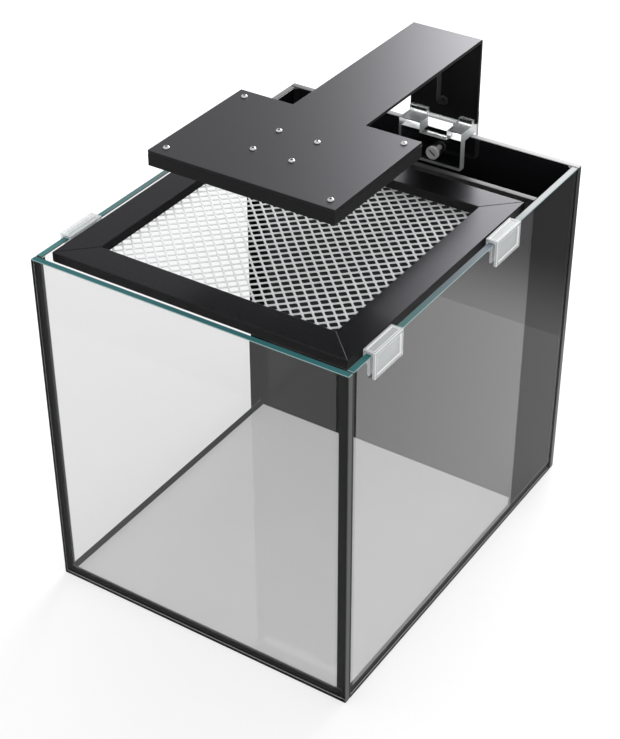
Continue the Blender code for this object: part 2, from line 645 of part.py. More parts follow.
def make_bracket(look):
    """Clear bracket over the back pane, with a channel for the lamp's leg."""
    acrylic = look["acrylic"]
    front, back = BRACKET_FRONT, 201.6 * MM
    inner = front + BRACKET_FRONT_SHEET
    front_foot, back_foot = 309.5 * MM, 303 * MM
    channel = back - BRACKET_SHEET
    side_view = [(front, front_foot), (inner, front_foot), (inner, BRIDGE_BOTTOM), (channel, BRIDGE_BOTTOM),
                 (channel, back_foot), (back, back_foot), (back, 357 * MM),
                 (channel, 357 * MM), (channel, BRIDGE_TOP), (front, BRIDGE_TOP)]
    bracket = prism("lamp_bracket", side_view, "x", BRACKET_LEFT, BRACKET_RIGHT, acrylic)
    notch = box("tool", (1 * MM, front - BRACKET_SHEET, BRIDGE_BOTTOM - 0.4 * MM),
                (29 * MM, 184 * MM, BRIDGE_TOP + 5 * MM), acrylic)
    hole = rod("y", (THUMB_X, 0, THUMB_Z), 2.8 * MM, front - 5 * MM, inner + 3 * MM, acrylic)
    carve(bracket, [notch, hole])
    lugs = []
    for left, right in ((BRACKET_LEFT, -3 * MM), (30 * MM, BRACKET_RIGHT)):
        lugs.append(box("tool", (left, 187.8 * MM, BRIDGE_TOP - 1 * MM), (right, 192.6 * MM, 351.9 * MM),
                        acrylic))
    carve(bracket, lugs, "UNION")
    slide = make_empty("pad_slide", (THUMB_X, 185.5 * MM, THUMB_Z))
    pad = [(0, 184.6 * MM), (5 * MM, 184.6 * MM), (5 * MM, 186.7 * MM), (0, 186.7 * MM)]
    turned("thumb_screw_pad", pad, "y", (THUMB_X, 0, THUMB_Z), look["rubber"], slide, origin=slide.location)
    head, shank = 6.3 * MM, 2.45 * MM
    head_front, head_back = front - 3.3 * MM, front - 0.2 * MM
    profile = [(0, head_front), (head - 0.6 * MM, head_front), (head, head_front + 0.6 * MM), (head, head_back),
               (shank, head_back), (shank, 184.3 * MM), (0, 184.3 * MM)]
    turned("thumb_screw", profile, "y", (THUMB_X, 0, THUMB_Z), look["nylon"], slide, origin=slide.location)


def make_lead(look):
    """Free low-voltage lead: a hanging stretch, its coil on the floor and the barrel plug."""
    rubber = look["rubber"]
    tube("lead_tube", smooth_route(LEAD_ROUTE, 10 * MM), CORD_RADIUS, rubber)
    inner = COIL_INNER - CORD_RADIUS - 0.2 * MM
    outer = COIL_OUTER + CORD_RADIUS + 0.2 * MM
    ring = [(inner, 0), (outer, 0), (outer, COIL_HEIGHT), (inner, COIL_HEIGHT)]
    turned("lead_coil", ring, "z", COIL_CENTRE, rubber, closed=True, steps=40)
    start = COIL_CENTRE.x - 17.7 * MM
    line_y = COIL_CENTRE.y - COIL_OUTER
    lengths = [(0, 0), (2.6, 0), (3.4, 12), (5, 13), (5, 34), (2.75, 34), (2.75, 43.5), (0, 43.5)]
    profile = [(radius * MM, -along * MM) for radius, along in lengths]
    turned("lead_plug", profile, "x", (start, line_y, PLUG_Z), rubber)


def main():
    clear_scene()
    look = {
        "glass": make_material("clear glass", (0.86, 0.93, 0.92), 0.03, alpha=0.35),
        "black_glass": make_material("black glass", (0.02, 0.02, 0.022), 0.08),
        "black": make_material("black acrylic", (0.018, 0.018, 0.02), 0.15),
        "film": make_material("black film", (0.012, 0.012, 0.014), 0.3),
        "silicone": make_material("black silicone", (0.015, 0.015, 0.016), 0.45),
        "anodised": make_material("black anodised aluminium", (0.07, 0.068, 0.078), 0.42, 0.6),
        "aluminium": make_material("bare aluminium", (0.7, 0.7, 0.71), 0.4, 1.0),
        "steel": make_material("stainless steel", (0.75, 0.75, 0.76), 0.25, 1.0),
        "acrylic": make_material("clear acrylic", (0.9, 0.92, 0.93), 0.04, alpha=0.4),
        "clip": make_material("frosted clip", (0.8, 0.82, 0.82), 0.25, alpha=0.7),
        "nylon": make_material("white nylon", (0.72, 0.72, 0.7), 0.45),
        "netting": make_material("clear netting", (0.75, 0.76, 0.78), 0.3, alpha=0.6),
        "rubber": make_material("black rubber", (0.02, 0.02, 0.02), 0.55),
        "plastic": make_material("black plastic", (0.03, 0.03, 0.032), 0.4),
        "sponge": make_material("blue-grey sponge", (0.08, 0.1, 0.13), 0.95),
        "ceramic": make_material("porous ceramic", (0.62, 0.56, 0.48), 0.9),
        "board": make_material("white circuit board", (0.85, 0.85, 0.83), 0.5),
    }
    make_glass(look)
    make_seams(look)
    make_divider(look)
    make_baffles(look)
    make_basket(look)
    make_pump(look)
    make_return(look)
    make_clips(look)
    make_lid(look)
    make_lamp(look)
    make_bracket(look)
    make_lead(look)


main()
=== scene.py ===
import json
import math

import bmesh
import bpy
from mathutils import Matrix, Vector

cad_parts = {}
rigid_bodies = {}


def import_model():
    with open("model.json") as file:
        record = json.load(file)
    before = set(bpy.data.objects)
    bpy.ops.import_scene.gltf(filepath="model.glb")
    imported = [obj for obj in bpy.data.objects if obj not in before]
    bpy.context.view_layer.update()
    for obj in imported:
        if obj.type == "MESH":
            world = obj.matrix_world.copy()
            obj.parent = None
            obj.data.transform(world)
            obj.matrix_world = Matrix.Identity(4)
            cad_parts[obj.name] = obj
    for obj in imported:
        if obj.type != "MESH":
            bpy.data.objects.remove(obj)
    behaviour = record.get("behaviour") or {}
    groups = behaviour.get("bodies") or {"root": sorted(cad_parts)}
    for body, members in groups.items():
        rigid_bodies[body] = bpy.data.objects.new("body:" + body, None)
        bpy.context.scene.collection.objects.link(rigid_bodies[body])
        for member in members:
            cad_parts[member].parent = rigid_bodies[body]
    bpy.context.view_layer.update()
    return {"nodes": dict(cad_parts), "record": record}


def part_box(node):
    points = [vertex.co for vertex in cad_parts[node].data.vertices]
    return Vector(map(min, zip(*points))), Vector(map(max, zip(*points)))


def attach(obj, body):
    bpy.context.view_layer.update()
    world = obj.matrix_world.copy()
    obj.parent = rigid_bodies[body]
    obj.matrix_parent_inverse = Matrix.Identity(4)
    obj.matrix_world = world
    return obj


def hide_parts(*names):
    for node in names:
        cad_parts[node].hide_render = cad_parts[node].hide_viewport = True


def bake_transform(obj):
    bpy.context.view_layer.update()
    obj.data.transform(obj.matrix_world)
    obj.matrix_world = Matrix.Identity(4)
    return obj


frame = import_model()

# %% [markdown]
# # A rimless aquarium with a mesh lid and a bracket lamp
#
# The frame holds every piece of the tank at its real size, in metres. This lesson gives each piece
# its finish. Rigid pieces that already have the right shape are copied and get rounded edges, because
# no real edge is perfectly sharp and the thin highlight along it is what the eye reads as "made".
# Pieces with more shape than the frame gives them are modelled from a primitive.

MM = 0.001

# %% [markdown]
# ## The camera
#
# A product picture is taken with a long lens from a step away, so that upright edges stay nearly
# parallel. The camera is given its place and the direction that it looks in, as a compass angle and
# a tilt, and a very small roll, the way a tripod head is set.

# %% Camera
CAMERA_PLACE = Vector((0.6991, -1.0744, 1.0726))
CAMERA_COMPASS = math.radians(33.378)
CAMERA_TILT = math.radians(35.09)
CAMERA_ROLL = math.radians(-0.274)
CAMERA_LENS = 84.7

level = math.cos(CAMERA_TILT)
aim = Vector((-math.sin(CAMERA_COMPASS) * level, math.cos(CAMERA_COMPASS) * level, -math.sin(CAMERA_TILT)))
camera_data = bpy.data.cameras.new("camera")
camera_data.lens = CAMERA_LENS
camera = bpy.data.objects.new("camera", camera_data)
bpy.context.scene.collection.objects.link(camera)
turn = aim.to_track_quat("-Z", "Y").to_matrix() @ Matrix.Rotation(CAMERA_ROLL, 3, "Z")
camera.matrix_world = Matrix.Translation(CAMERA_PLACE) @ turn.to_4x4()
bpy.context.scene.camera = camera
print("the camera looks along", [round(value, 3) for value in aim])

# %% [markdown]
# ## The lead
#
# The lamp's lead leaves the grommet in its leg, hangs down behind the tank and is wound up on the
# table. A cord keeps its length, so its path comes first: points listed where it hangs, and a
# spiral where it is wound. The spiral runs inwards on the table and outwards again on top of itself,
# which is what a hand does with one and a half metres of cable. A tube is then swept along the path.

# %% The path of the lead
CORD_RADIUS = 2 * MM
HANGING_ROUTE = [
    (12, 198.7, 363), (12, 206, 363), (12, 212.7, 361.7), (12, 218.4, 357.9), (12, 222.2, 352.2),
    (12, 223.5, 345.5), (12.2, 223.8, 325), (12.8, 224, 290), (13.4, 224, 250), (13.4, 224, 210),
    (12.8, 224, 170), (12, 223.8, 130), (11.3, 223.4, 90), (11, 222.8, 55), (11, 222.4, 27.1),
    (9.1, 222.2, 17.5), (3.7, 222, 9.4), (-4.4, 221.8, 4.1), (-14, 221.6, 2.2),
    (-22, 221.5, 2.1), (-29.2, 221.5, 2.1),
]
CABLE_ROUTE = [
    (12, -0.7, 423.8), (12, 40, 423.8), (12, 100, 423.8), (12, 155, 423.8), (12, 165, 422.6),
    (12, 173.5, 418.5), (12, 179, 411.5), (12, 181.6, 402), (12, 182, 390), (12, 182, 380),
    (12, 182, 371.5), (12, 183, 367), (12, 185.4, 364.1), (12, 188, 363), (12, 190.2, 363),
]
COIL_CENTRE = Vector((-46, 251.5, 0)) * MM
COIL_TURNS = 7
OUTER_TURN = 30 * MM
TURN_PITCH = 4 * MM
LOW_LAYER = 2.1 * MM
HIGH_LAYER = 6.1 * MM
PLUG_START = -63.7 * MM
PLUG_LINE = 221.5 * MM
PLUG_HEIGHT = 5.3 * MM


def smooth_path(points, spacing):
    """Points about one spacing apart on a smooth curve through the points of a route in millimetres."""
    stops = [Vector(point) * MM for point in points]
    ends = [2 * stops[0] - stops[1]] + stops + [2 * stops[-1] - stops[-2]]
    path = []
    for before, start, stop, after in zip(ends, ends[1:], ends[2:], ends[3:]):
        steps = max(1, round((stop - start).length / spacing))
        for step in range(steps):
            t = step / steps
            bend = 2 * before - 5 * start + 4 * stop - after
            twist = 3 * start - before - 3 * stop + after
            path.append((2 * start + (stop - before) * t + bend * t ** 2 + twist * t ** 3) / 2)
    return path + [stops[-1]]


def winding(steps_a_turn):
    """The wound part of the lead: inwards on the table, then outwards on top."""
    path = []
    for step in range(1, COIL_TURNS * steps_a_turn + 1):
        turns = step / steps_a_turn
        inwards = min(turns, COIL_TURNS / 2)
        outwards = max(0, turns - COIL_TURNS / 2)
        radius = OUTER_TURN - TURN_PITCH * (inwards - outwards)
        climb = min(1, max(0, (turns - 3.3) / 0.4))
        height = LOW_LAYER + (HIGH_LAYER - LOW_LAYER) * climb * climb * (3 - 2 * climb)
        angle = -math.pi / 2 - 2 * math.pi * turns
        path.append(COIL_CENTRE + Vector((radius * math.cos(angle), radius * math.sin(angle), height)))
    return path


lead_path = smooth_path(HANGING_ROUTE, 3 * MM)
for step in range(1, 6):
    lead_path.append(Vector((lead_path[-1].x - 2.8 * MM, PLUG_LINE, LOW_LAYER)))
lead_path += [Vector((COIL_CENTRE.x, PLUG_LINE, LOW_LAYER))] + winding(40)
for step in range(1, 7):
    along = step / 6
    drop = along * along * (3 - 2 * along)
    lead_path.append(Vector((COIL_CENTRE.x + (PLUG_START - 0.3 * MM - COIL_CENTRE.x) * along, PLUG_LINE,
                             HIGH_LAYER + (PLUG_HEIGHT - HIGH_LAYER) * drop)))

# %% A tube swept along a path


def select_only(*items):
    """Selects these objects and makes the first the active one."""
    bpy.ops.object.select_all(action="DESELECT")
    for item in items:
        item.select_set(True)
    bpy.context.view_layer.objects.active = items[0]


def new_object(name, mesh):
    item = bpy.data.objects.new(name, mesh)
    bpy.context.scene.collection.objects.link(item)
    return item


def swept_tube(name, path, radius, sides=14):
    """A round tube that follows a path, with closed ends. The radius is a number, or one for each point."""
    radii = radius if isinstance(radius, list) else [radius] * len(path)
    mesh = bmesh.new()
    tangents = []
    for index in range(len(path)):
        ahead = path[min(index + 1, len(path) - 1)]
        behind = path[max(index - 1, 0)]
        tangents.append((ahead - behind).normalized())
    across = tangents[0].orthogonal().normalized()
    rings = []
    for point, tangent, reach in zip(path, tangents, radii):
        across = (across - tangent * across.dot(tangent)).normalized()
        other = tangent.cross(across)
        ring = []
        for side in range(sides):
            angle = 2 * math.pi * side / sides
            ring.append(mesh.verts.new(point + (across * math.cos(angle) + other * math.sin(angle)) * reach))
        rings.append(ring)
    for first, second in zip(rings, rings[1:]):
        for side in range(sides):
            after = (side + 1) % sides
            mesh.faces.new((first[side], first[after], second[after], second[side]))
    mesh.faces.new(list(reversed(rings[0])))
    mesh.faces.new(rings[-1])
    data = bpy.data.meshes.new(name)
    mesh.to_mesh(data)
    mesh.free()
    item = new_object(name, data)
    data.shade_smooth()
    data.set_sharp_from_angle(angle=math.radians(50))
    return item


lead = swept_tube("power_lead", lead_path, CORD_RADIUS)
lamp_cable_path = smooth_path(CABLE_ROUTE, 3 * MM)
lamp_cable = swept_tube("lamp_cable_sheath", lamp_cable_path, CORD_RADIUS)
print("lead and lamp cable have", len(lead.data.polygons) + len(lamp_cable.data.polygons), "faces")

# %% [markdown]
# ## Tools of the bench
#
# The same few steps come back for almost every piece: add a block, take a copy of a part of the
# frame, pick faces by where they are and which way they look, and round the edges. Each is a short
# helper. Rounding also writes down which faces it made, in an attribute called "edge". Materials
# read that attribute later to make the arris lighter, partly as wear and partly as a painted highlight,
# with no texture painted on. Its last step weights the shading by the size of the faces, so that the
# rounding turns the light and the big faces stay flat.

# %% Blocks, copies and picked faces
def add_block(name, low, high):
    """A cube stretched to two corners, with its place in its mesh."""
    low, high = Vector(low), Vector(high)
    bpy.ops.object.select_all(action="DESELECT")
    bpy.ops.mesh.primitive_cube_add(size=1, location=(low + high) / 2)
    item = bpy.context.active_object
    item.name = name
    item.data.name = name
    item.scale = high - low
    bpy.ops.object.transform_apply(location=True, rotation=True, scale=True)
    return item


def add_round(name, axis, centre, radius, start, stop, sides=32):
    """A cylinder along X, Y or Z between two heights on that axis."""
    bpy.ops.object.select_all(action="DESELECT")
    turns = {"x": (0, math.pi / 2, 0), "y": (math.pi / 2, 0, 0), "z": (0, 0, 0)}
    place = Vector(centre)
    place["xyz".index(axis)] = (start + stop) / 2
    bpy.ops.mesh.primitive_cylinder_add(vertices=sides, radius=radius, depth=abs(stop - start),
                                        location=place, rotation=turns[axis])
    item = bpy.context.active_object
    item.name = name
    item.data.name = name
    bpy.ops.object.transform_apply(location=True, rotation=True, scale=True)
    return item


def copy_part(node, name):
    """An editable copy of a part of the frame: its loose triangles are merged into clean faces."""
    item = new_object(name, frame["nodes"][node].data.copy())
    item.data.name = name
    item.data.materials.clear()
    if "custom_normal" in item.data.attributes:
        item.data.attributes.remove(item.data.attributes["custom_normal"])
    select_only(item)
    bpy.ops.object.mode_set(mode="EDIT")
    bpy.ops.mesh.select_all(action="SELECT")
    bpy.ops.mesh.remove_doubles(threshold=0.00002)
    bpy.ops.mesh.dissolve_limited(angle_limit=math.radians(1))
    bpy.ops.object.mode_set(mode="OBJECT")
    return item


def pick_faces(item, wanted):
    """Opens a piece in edit mode with those faces selected whose centre and normal pass the test."""
    select_only(item)
    bpy.ops.object.mode_set(mode="EDIT")
    bpy.ops.mesh.select_mode(type="FACE")
    bpy.ops.mesh.select_all(action="DESELECT")
    mesh = bmesh.from_edit_mesh(item.data)
    found = 0
    for face in mesh.faces:
        if wanted(face.calc_center_median(), face.normal):
            face.select_set(True)
            found += 1
    bmesh.update_edit_mesh(item.data)
    return found


def close_edit():
    bpy.ops.object.mode_set(mode="OBJECT")


def apply_modifiers(item):
    select_only(item)
    for modifier in list(item.modifiers):
        bpy.ops.object.modifier_apply(modifier=modifier.name)

# %% Rounded edges
ROUND_ANGLE = math.radians(35)


def round_edges(item, width, segments=2):
    """Rounds every sharp edge and marks the faces that this makes in the attribute "edge"."""
    item.data.materials.clear()
    for slot_name in ("body", "rounding"):
        item.data.materials.append(bpy.data.materials.get(slot_name) or bpy.data.materials.new(slot_name))
    modifier = item.modifiers.new("rounding", "BEVEL")
    modifier.width = width
    modifier.segments = segments
    modifier.limit_method = "ANGLE"
    modifier.angle_limit = ROUND_ANGLE
    modifier.material = 1
    modifier.use_clamp_overlap = True
    apply_modifiers(item)
    mark = item.data.attributes.new("edge", "FLOAT", "FACE")
    mark.data.foreach_set("value", [float(face.material_index) for face in item.data.polygons])
    item.data.polygons.foreach_set("material_index", [0] * len(item.data.polygons))
    item.data.materials.clear()
    select_only(item)
    bpy.ops.object.shade_smooth_by_angle(angle=ROUND_ANGLE)
    flatten = item.modifiers.new("flat faces stay flat", "WEIGHTED_NORMAL")
    flatten.weight = 100
    flatten.keep_sharp = True
    apply_modifiers(item)
    return item


def turned(name, axis, centre, profile, sides=32):
    """Spins a profile of (radius, height) about an axis, like a piece on a lathe."""
    first, second = {"x": (1, 2), "y": (2, 0), "z": (0, 1)}[axis]
    along = "xyz".index(axis)
    points = []
    for radius, height in profile:
        point = Vector(centre)
        point[first] += radius
        point[along] = height
        points.append(point)
    data = bpy.data.meshes.new(name)
    data.from_pydata(points, [(index, index + 1) for index in range(len(points) - 1)], [])
    item = new_object(name, data)
    select_only(item)
    bpy.ops.object.mode_set(mode="EDIT")
    bpy.ops.mesh.select_all(action="SELECT")
    direction = [0, 0, 0]
    direction[along] = 1
    bpy.ops.mesh.spin(steps=sides, angle=2 * math.pi, center=centre, axis=direction)
    bpy.ops.mesh.select_all(action="SELECT")
    bpy.ops.mesh.remove_doubles(threshold=0.00001)
    bpy.ops.mesh.normals_make_consistent(inside=False)
    close_edit()
    bpy.ops.object.shade_smooth_by_angle(angle=ROUND_ANGLE)
    return item


print("bench tools are ready")

# %% [markdown]
# ## Who moves with whom
#
# The frame's record says which body each node belongs to and which finish it has. A new piece that
# stands for a node rides on the same body and takes the same finish, so both are looked up once.

# %% Standing in for a node of the frame
record = frame["record"]
BODY_OF = {node: body for body, nodes in record["behaviour"]["bodies"].items() for node in nodes}
FINISH_OF = {part["node"]: part["material_slot"] for part in record["subparts"]}
made = {}


def stand_in(item, *nodes):
    """The piece rides on the body of the first node, and is shown in place of all of them."""
    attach(item, BODY_OF[nodes[0]])
    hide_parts(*nodes)
    made[item.name] = FINISH_OF[nodes[0]]
    return item


def go_along(item, node):
    """A small extra piece rides with a node and shares its finish, and hides nothing."""
    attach(item, BODY_OF[node])
    made[item.name] = FINISH_OF[node]
    return item


# %% [markdown]
# ## Glass panes
#
# Float glass is cut, and its sharp rim is then ground to a narrow flat, the arris. A pane looks clear
# through its faces and deep green along its open rim, because there the light crosses a long way of
# glass. Along the tank the open rim's colour also changes, and that change is painted light and
# reflection. The other narrow sides meet black silicone and are as black as that. So each pane is one
# block with a ground arris, and its narrow sides are picked by the direction that they face and by height.

# %% Panes
ARRIS = 0.5 * MM
TOP_RIM = 336 * MM
FACE_ACROSS = {"front_glass": "y", "back_glass": "y", "left_glass": "x", "right_glass": "x",
               "bottom_glass": "z"}


def make_pane(node):
    low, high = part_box(node)
    pane = add_block(node.replace("glass", "pane"), low, high)
    round_edges(pane, ARRIS, segments=1)
    axis = "xyz".index(FACE_ACROSS[node])
    mark = pane.data.attributes["edge"].data
    for face in pane.data.polygons:
        open_rim = face.center.z > TOP_RIM
        if mark[face.index].value > 0.5:
            face.material_index = 2 if open_rim else 4
        elif abs(face.normal[axis]) < 0.5:
            face.material_index = 1 if open_rim else 3
    return stand_in(pane, node)


for node in FACE_ACROSS:
    make_pane(node)
print("panes:", [name for name in made])

# %% [markdown]
# ## Black parts of the tank
#
# The silicone seams, the divider and the baffles already have their true shape in the frame. Each is
# copied and its edges are rounded: half a millimetre on cut and flame-polished acrylic, a little more
# on silicone, which is smoothed with a wet finger and has no sharp edge at all.

# %% Seams, divider and baffles
SOFT_EDGES = {
    "seam_base": 0.7, "seam_front_left": 0.5, "seam_front_right": 0.5, "seam_back_left": 0.5,
    "seam_back_right": 0.5, "divider_wall": 0.5, "baffle_left": 0.5, "baffle_right": 0.5,
    "media_basket": 0.35,
}


def copy_with_edges(node, width, name=None, segments=2):
    """A copy of a node with rounded edges, shown in the node's place."""
    item = copy_part(node, name or node + "_finished")
    round_edges(item, width * MM, segments)
    return stand_in(item, node)


for node, width in SOFT_EDGES.items():
    copy_with_edges(node, width)
divider = bpy.data.objects["divider_wall_finished"]
for face in divider.data.polygons:
    if face.center.z > 334 * MM:
        face.material_index = 1
print("rounded:", len(SOFT_EDGES), "black parts")

# %% [markdown]
# ## Filter chamber
#
# Behind the divider stand a small pump with its intake cover, a hose up to an elbow that goes through
# the divider, and the swivelling nozzle in front of it. The pump is moulded plastic with soft edges. The
# elbow is swept along a bend with a collar at both ends, and the nozzle's mouth is hollowed.

# %% Pump, ceramic block, keys and spline
HIDDEN_EDGES = {
    "pump_body": 0.9, "pump_intake": 0.3, "pump_impeller": 0.2, "media_block": 0.8, "lid_spline": 0.3,
}
CORNERS = ("front_left", "front_right", "back_left", "back_right")
HIDDEN_EDGES.update({f"lid_key_{corner}": 0.3 for corner in CORNERS})
for node, width in HIDDEN_EDGES.items():
    copy_with_edges(node, width)
print("rounded:", len(HIDDEN_EDGES), "small parts")

# %% Hose, elbow and nozzle
HOSE_BEAD = 0.45 * MM
hose_low, hose_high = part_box("outlet_hose")
hose_radius = (hose_high.x - hose_low.x) / 2
hose_axis = ((hose_low.x + hose_high.x) / 2, (hose_low.y + hose_high.y) / 2, 0)
hose_profile = [(0, hose_low.z), (hose_radius - 0.4 * MM, hose_low.z), (hose_radius, hose_low.z + 0.4 * MM)]
for band in (hose_low.z + 9 * MM, hose_high.z - 9 * MM):
    hose_profile += [(hose_radius, band - 2 * MM), (hose_radius - HOSE_BEAD, band - 1.4 * MM),
                     (hose_radius - HOSE_BEAD, band + 1.4 * MM), (hose_radius, band + 2 * MM)]
hose_profile += [(hose_radius, hose_high.z - 0.4 * MM), (hose_radius - 0.4 * MM, hose_high.z),
                 (0, hose_high.z)]
stand_in(turned("rubber_hose", "z", hose_axis, hose_profile), "outlet_hose")

elbow_low, elbow_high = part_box("return_elbow")
elbow_radius = (elbow_high.x - elbow_low.x) / 2
elbow_x = (elbow_low.x + elbow_high.x) / 2
upright_y = elbow_high.y - elbow_radius
level_z = elbow_high.z - elbow_radius
BEND = 15 * MM
collar = elbow_radius - 0.02 * MM
waist = elbow_radius - 0.7 * MM
elbow_path, elbow_radii = [], []
for height, reach in ((0, collar - 0.3 * MM), (0.3, collar), (3.4, collar), (3.7, waist), (6, waist)):
    elbow_path.append(Vector((elbow_x, upright_y, elbow_low.z + height * MM)))
    elbow_radii.append(reach)
for step in range(9):
    angle = math.pi / 2 * step / 8
    elbow_path.append(Vector((elbow_x, upright_y - BEND + BEND * math.cos(angle),
                              level_z - BEND + BEND * math.sin(angle))))
    elbow_radii.append(waist)
for depth, reach in ((14, waist), (13.7, collar), (0.3, collar), (0, collar - 0.3 * MM)):
    elbow_path.append(Vector((elbow_x, elbow_low.y + depth * MM, level_z)))
    elbow_radii.append(reach)
stand_in(swept_tube("elbow_pipe", elbow_path, elbow_radii, sides=28), "return_elbow")
print("hose and elbow, radius", round(elbow_radius / MM, 1), "mm")

# %% [markdown]
# ## The lid's frame
#
# Four hollow rails are cut at 45 degrees and pushed onto corner keys. The rails are extruded, so
# their long edges have a soft radius, and the saw leaves a fine line at each mitre. Their upright faces
# are marked for a dark, dull material, a painted shade; the top is brushed before it is anodised.

# %% Rails
RAIL_EDGE = 0.8


def shade_upright_faces(item):
    """Gives the upright faces of a piece its second material, a painted shade."""
    for face in item.data.polygons:
        if abs(face.normal.z) < 0.3:
            face.material_index = 1
    return item


for side in ("front", "right", "back", "left"):
    shade_upright_faces(copy_with_edges(f"lid_rail_{side}", RAIL_EDGE, segments=3))
print("four rails")

# %% [markdown]
# ## The netting
#
# The netting is one sheet of extruded plastic with openings set at 45 degrees to the frame. It could
# be a picture of a net on a plane, but a real net has thickness, and its openings have round corners.
# So a grid is turned, every square is inset to leave the strands, and the openings are deleted. What
# stays is cut to the frame, thickened and smoothed, which makes the strands look round.

# %% Netting
NET_PITCH = 8.3 * MM
STRAND = 1.5 * MM
NET_THICKNESS = 0.8 * MM
net_low, net_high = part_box("lid_mesh")
net_middle = (net_low + net_high) / 2
span = (net_high - net_low).length
squares = math.ceil(span / NET_PITCH)

bpy.ops.object.select_all(action="DESELECT")
bpy.ops.mesh.primitive_grid_add(x_subdivisions=squares, y_subdivisions=squares, size=squares * NET_PITCH,
                                location=net_middle, rotation=(0, 0, math.radians(45)))
net = bpy.context.active_object
net.name = "lid_netting"
net.data.name = "lid_netting"
bpy.ops.object.transform_apply(location=True, rotation=True, scale=True)



def cut_outside(low, high, margin):
    """Cuts away what lies outside a rectangle that is widened by a margin."""
    for axis in (0, 1):
        for side, corner in ((-1, low), (1, high)):
            normal = [0, 0, 0]
            normal[axis] = side
            place = [0, 0, 0]
            place[axis] = corner[axis] + side * margin
            bpy.ops.mesh.select_all(action="SELECT")
            bpy.ops.mesh.bisect(plane_co=place, plane_no=normal, clear_outer=True)
    bpy.ops.mesh.select_all(action="SELECT")


bpy.ops.object.mode_set(mode="EDIT")
cut_outside(net_low, net_high, NET_PITCH)
bpy.ops.mesh.select_mode(type="FACE")
bpy.ops.mesh.inset(thickness=STRAND / 2, use_individual=True, use_even_offset=True)
openings = bmesh.from_edit_mesh(net.data)
print(sum(face.select for face in openings.faces), "openings")
bpy.ops.mesh.select_mode(type="VERT")
bpy.ops.mesh.bevel(offset=STRAND * 0.85, segments=2, affect="VERTICES")
bpy.ops.mesh.select_mode(type="FACE")
openings = bmesh.from_edit_mesh(net.data)
for face in openings.faces:
    face.select_set(face.calc_area() > (NET_PITCH - STRAND) ** 2 * 0.5 and len(face.verts) >= 8)
bmesh.update_edit_mesh(net.data)
bpy.ops.mesh.delete(type="FACE")
close_edit()
print(len(net.data.polygons), "faces of flat net")

# %% Thickness of the net and its edge under the rails
select_only(net)
bpy.ops.object.mode_set(mode="EDIT")
cut_outside(net_low, net_high, 0)
bpy.ops.transform.translate(value=(0, 0, net_high.z - NET_THICKNESS / 2 - net_middle.z))
close_edit()
thicken = net.modifiers.new("thickness", "SOLIDIFY")
thicken.thickness = NET_THICKNESS
thicken.offset = 0
apply_modifiers(net)
bpy.ops.object.shade_smooth()
stand_in(net, "lid_mesh")
print("the net has", len(net.data.polygons), "faces")

# %% [markdown]
# ## Clips
#
# Each clip is injection moulded: a saddle over the side pane with an outer flap, a springy inner leg
# and a ledge that carries the lid. Moulders sink the broad faces a little so that the plastic cools
# evenly, which leaves a raised border. The sunk panels are made by insetting the two broad faces and
# pushing them in, and all outer edges get a generous radius.

# %% Clips
CLIP_BORDER = 3.2 * MM
CLIP_SINK = 0.7 * MM
CLIP_RADIUS = 0.7


def sink_panel(item, wanted, border, depth):
    """Insets the picked faces by a border and pushes what is left inwards."""
    found = pick_faces(item, wanted)
    bpy.ops.mesh.inset(thickness=border, depth=0, use_individual=False)
    bpy.ops.mesh.inset(thickness=depth * 0.6, depth=-depth, use_individual=False)
    close_edit()
    return found


for corner in CORNERS:
    node = f"lid_clip_{corner}"
    low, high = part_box(node)
    side = 1 if high.x > 0 else -1
    outer = high.x if side > 0 else low.x
    clip = copy_part(node, f"clip_{corner}")
    sink_panel(clip, lambda c, n: n.x * side > 0.9 and abs(c.x - outer) < 0.1 * MM, CLIP_BORDER, CLIP_SINK)
    sink_panel(clip, lambda c, n: n.z > 0.9 and abs(c.z - high.z) < 0.1 * MM, 2 * MM, CLIP_SINK)
    round_edges(clip, CLIP_RADIUS * MM, segments=3)
    stand_in(clip, node)
print("four clips with", len(clip.data.polygons), "faces each")

# %% Nozzle with a hollow mouth
nozzle_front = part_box("return_nozzle")[0].y
nozzle = copy_part("return_nozzle", "nozzle")
sink_panel(nozzle, lambda c, n: n.y < -0.9 and abs(c.y - nozzle_front) < 0.1 * MM, 1 * MM, 2.4 * MM)
stand_in(round_edges(nozzle, 0.25 * MM), "return_nozzle")
print("nozzle with", len(nozzle.data.polygons), "faces")

# %% [markdown]
# ### The sponge
#
# A filter sponge is cut from a block of open foam with a hot wire, so its faces are nearly flat but
# never quite, and its corners are soft. It is a block with many small faces whose points are moved
# inwards by a slow wave, so that it stays within its basket.

# %% Sponge
SPONGE_WAVE = 0.45 * MM
SPONGE_RADIUS = 2.5 * MM
sponge_low, sponge_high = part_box("filter_sponge")
sponge = add_block("foam_sponge", sponge_low, sponge_high)
bpy.ops.object.mode_set(mode="EDIT")
bpy.ops.mesh.select_all(action="SELECT")
bpy.ops.mesh.subdivide(number_cuts=30)
close_edit()
for vertex in sponge.data.vertices:
    core = vertex.co.copy()
    for axis in range(3):
        core[axis] = max(core[axis], sponge_low[axis] + SPONGE_RADIUS)
        core[axis] = min(core[axis], sponge_high[axis] - SPONGE_RADIUS)
    outwards = (vertex.co - core).normalized()
    wave = math.sin(vertex.co.x * 330) * math.sin(vertex.co.y * 290 + 1) * math.sin(vertex.co.z * 250 + 2)
    vertex.co = core + outwards * (SPONGE_RADIUS - SPONGE_WAVE * (0.5 + 0.5 * wave))
sponge.data.shade_smooth()
stand_in(sponge, "filter_sponge")
print("sponge with", len(sponge.data.polygons), "faces")
